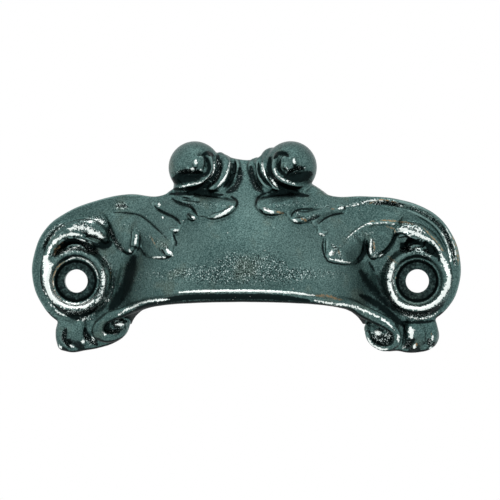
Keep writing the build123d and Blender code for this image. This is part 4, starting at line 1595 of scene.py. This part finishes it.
# Painted shade: black in the hollows and under things.
tone = blend(shade_mask, tone, painted_shade_black)
# Painted glints and black pit flecks where the glint strokes lie.
glints_and_pits = stored("glints_and_pits")
share = rise(glints_and_pits, 0.0, 0.3) * 0.9
tone = blend(share * rise(glints_and_pits * 0.12 - fine, -0.42, -0.36), tone, black_fleck)
tone = blend(share * rise(glints_and_pits * 0.12 + fine, 0.65, 0.71), tone, painted_glint)
# The painted highlights go on top, then the bronze layer.
tone = blend(highlight_mask, tone, painted_highlight_white)
tone = blend(warm_mask * 0.8, tone, bronze_layer)
print("With its colours it has", len(plating.tree.nodes), "nodes")

# %% [markdown]
# A shallow bump gives the cast skin its grain under the plating. Where highlights are
# painted the metal is smoother, and where shade is painted it is rougher.

# %% Join the plating's shader
bump = plating.node(
    "ShaderNodeBump",
    {},
    {
        "Height": grain * 0.6 + speckle * 0.6 + noise(500) * 0.8,
        "Strength": 0.6,
        "Distance": 0.00015,
    },
)
surface = plating.node(
    "ShaderNodeBsdfPrincipled",
    {},
    {
        "Base Color": tone,
        "Metallic": 1.0,
        "Roughness": 0.34 + grain * 0.1 - highlight_mask * 0.14 + shade_mask * 0.1,
        "Normal": bump,
    },
)
plating.node("ShaderNodeOutputMaterial", {}, {"Surface": surface})
pull.data.materials.clear()
pull.data.materials.append(plating.material)
print("The finish:", plating.material.name, "on", pull.name)

# %% [markdown]
# ## The studio
#
# A long lens looks almost straight at the front, from a little to the right. The picture
# is a little wider than the pull. The camera looks at the middle between the screws, and
# a small shift puts that point where it is to stand in the picture.

# %% Set up the camera
mm_per_pixel = 0.22353
picture_side = 500
aim_pixel = (247.05, 281.0)
distance = 1.3
turn = math.radians(3)
sensor_width = 36

camera_data = bpy.data.cameras.new("camera")
camera = placed("camera", camera_data)
frame_width = picture_side * mm_per_pixel / mm_per_metre
camera_data.sensor_width = sensor_width
camera_data.lens = sensor_width * distance / frame_width
camera.location = (distance * math.sin(turn), -distance * math.cos(turn), 0)
camera.rotation_euler = (math.pi / 2, 0, turn)
camera_data.shift_x = (picture_side / 2 - aim_pixel[0]) / picture_side
camera_data.shift_y = (aim_pixel[1] - picture_side / 2) / picture_side
bpy.context.scene.camera = camera
print("The picture is", round(frame_width * mm_per_metre, 1), "mm wide at the pull")

# %% [markdown]
# A plain white world lights the pull evenly from all round and is the white background
# too. Three soft lamps, above and to the sides, are weak: they only give the rounded
# forms a little more light from above. The floor is a pale disc well below the pull. It
# belongs to the studio and not to the pull.

# %% Set up the lamps, the world and the floor
lamp_target = Vector((0, 0, 0.006))
lamps = [
    ("top", (0.0, -0.35, 0.8), 0.8, 2),
    ("left", (-0.8, -0.5, 0.3), 0.5, 0.6),
    ("right", (0.8, -0.5, 0.3), 0.5, 0.6),
]
for name, spot, size, watts in lamps:
    data = bpy.data.lights.new(name, "AREA")
    data.size = size
    data.energy = watts
    lamp = placed(name, data)
    lamp.location = spot
    lamp.rotation_euler = (lamp_target - Vector(spot)).to_track_quat("-Z", "Y").to_euler()

world = bpy.data.worlds.new("world")
bpy.context.scene.world = world
sky = Board("sky", world)
white = sky.node("ShaderNodeBackground", {}, {"Color": (1, 1, 1, 1), "Strength": 1.0})
sky.node("ShaderNodeOutputWorld", {}, {"Surface": white})

floor_radius = 0.2
floor_place = Matrix.Translation((0, 0, -0.12))
disc = bmesh.new()
bmesh.ops.create_circle(
    disc, cap_ends=True, segments=96, radius=floor_radius, matrix=floor_place
)
floor_mesh = bpy.data.meshes.new("floor")
disc.to_mesh(floor_mesh)
disc.free()
floor = placed("floor", floor_mesh)
paper = Board("paper")
matt = paper.node("ShaderNodeBsdfDiffuse", {}, {"Color": (0.85, 0.85, 0.85, 1)})
paper.node("ShaderNodeOutputMaterial", {}, {"Surface": matt})
floor_mesh.materials.append(paper.material)

bpy.context.scene.view_settings.view_transform = "Standard"
print("Lamps:", len(lamps))
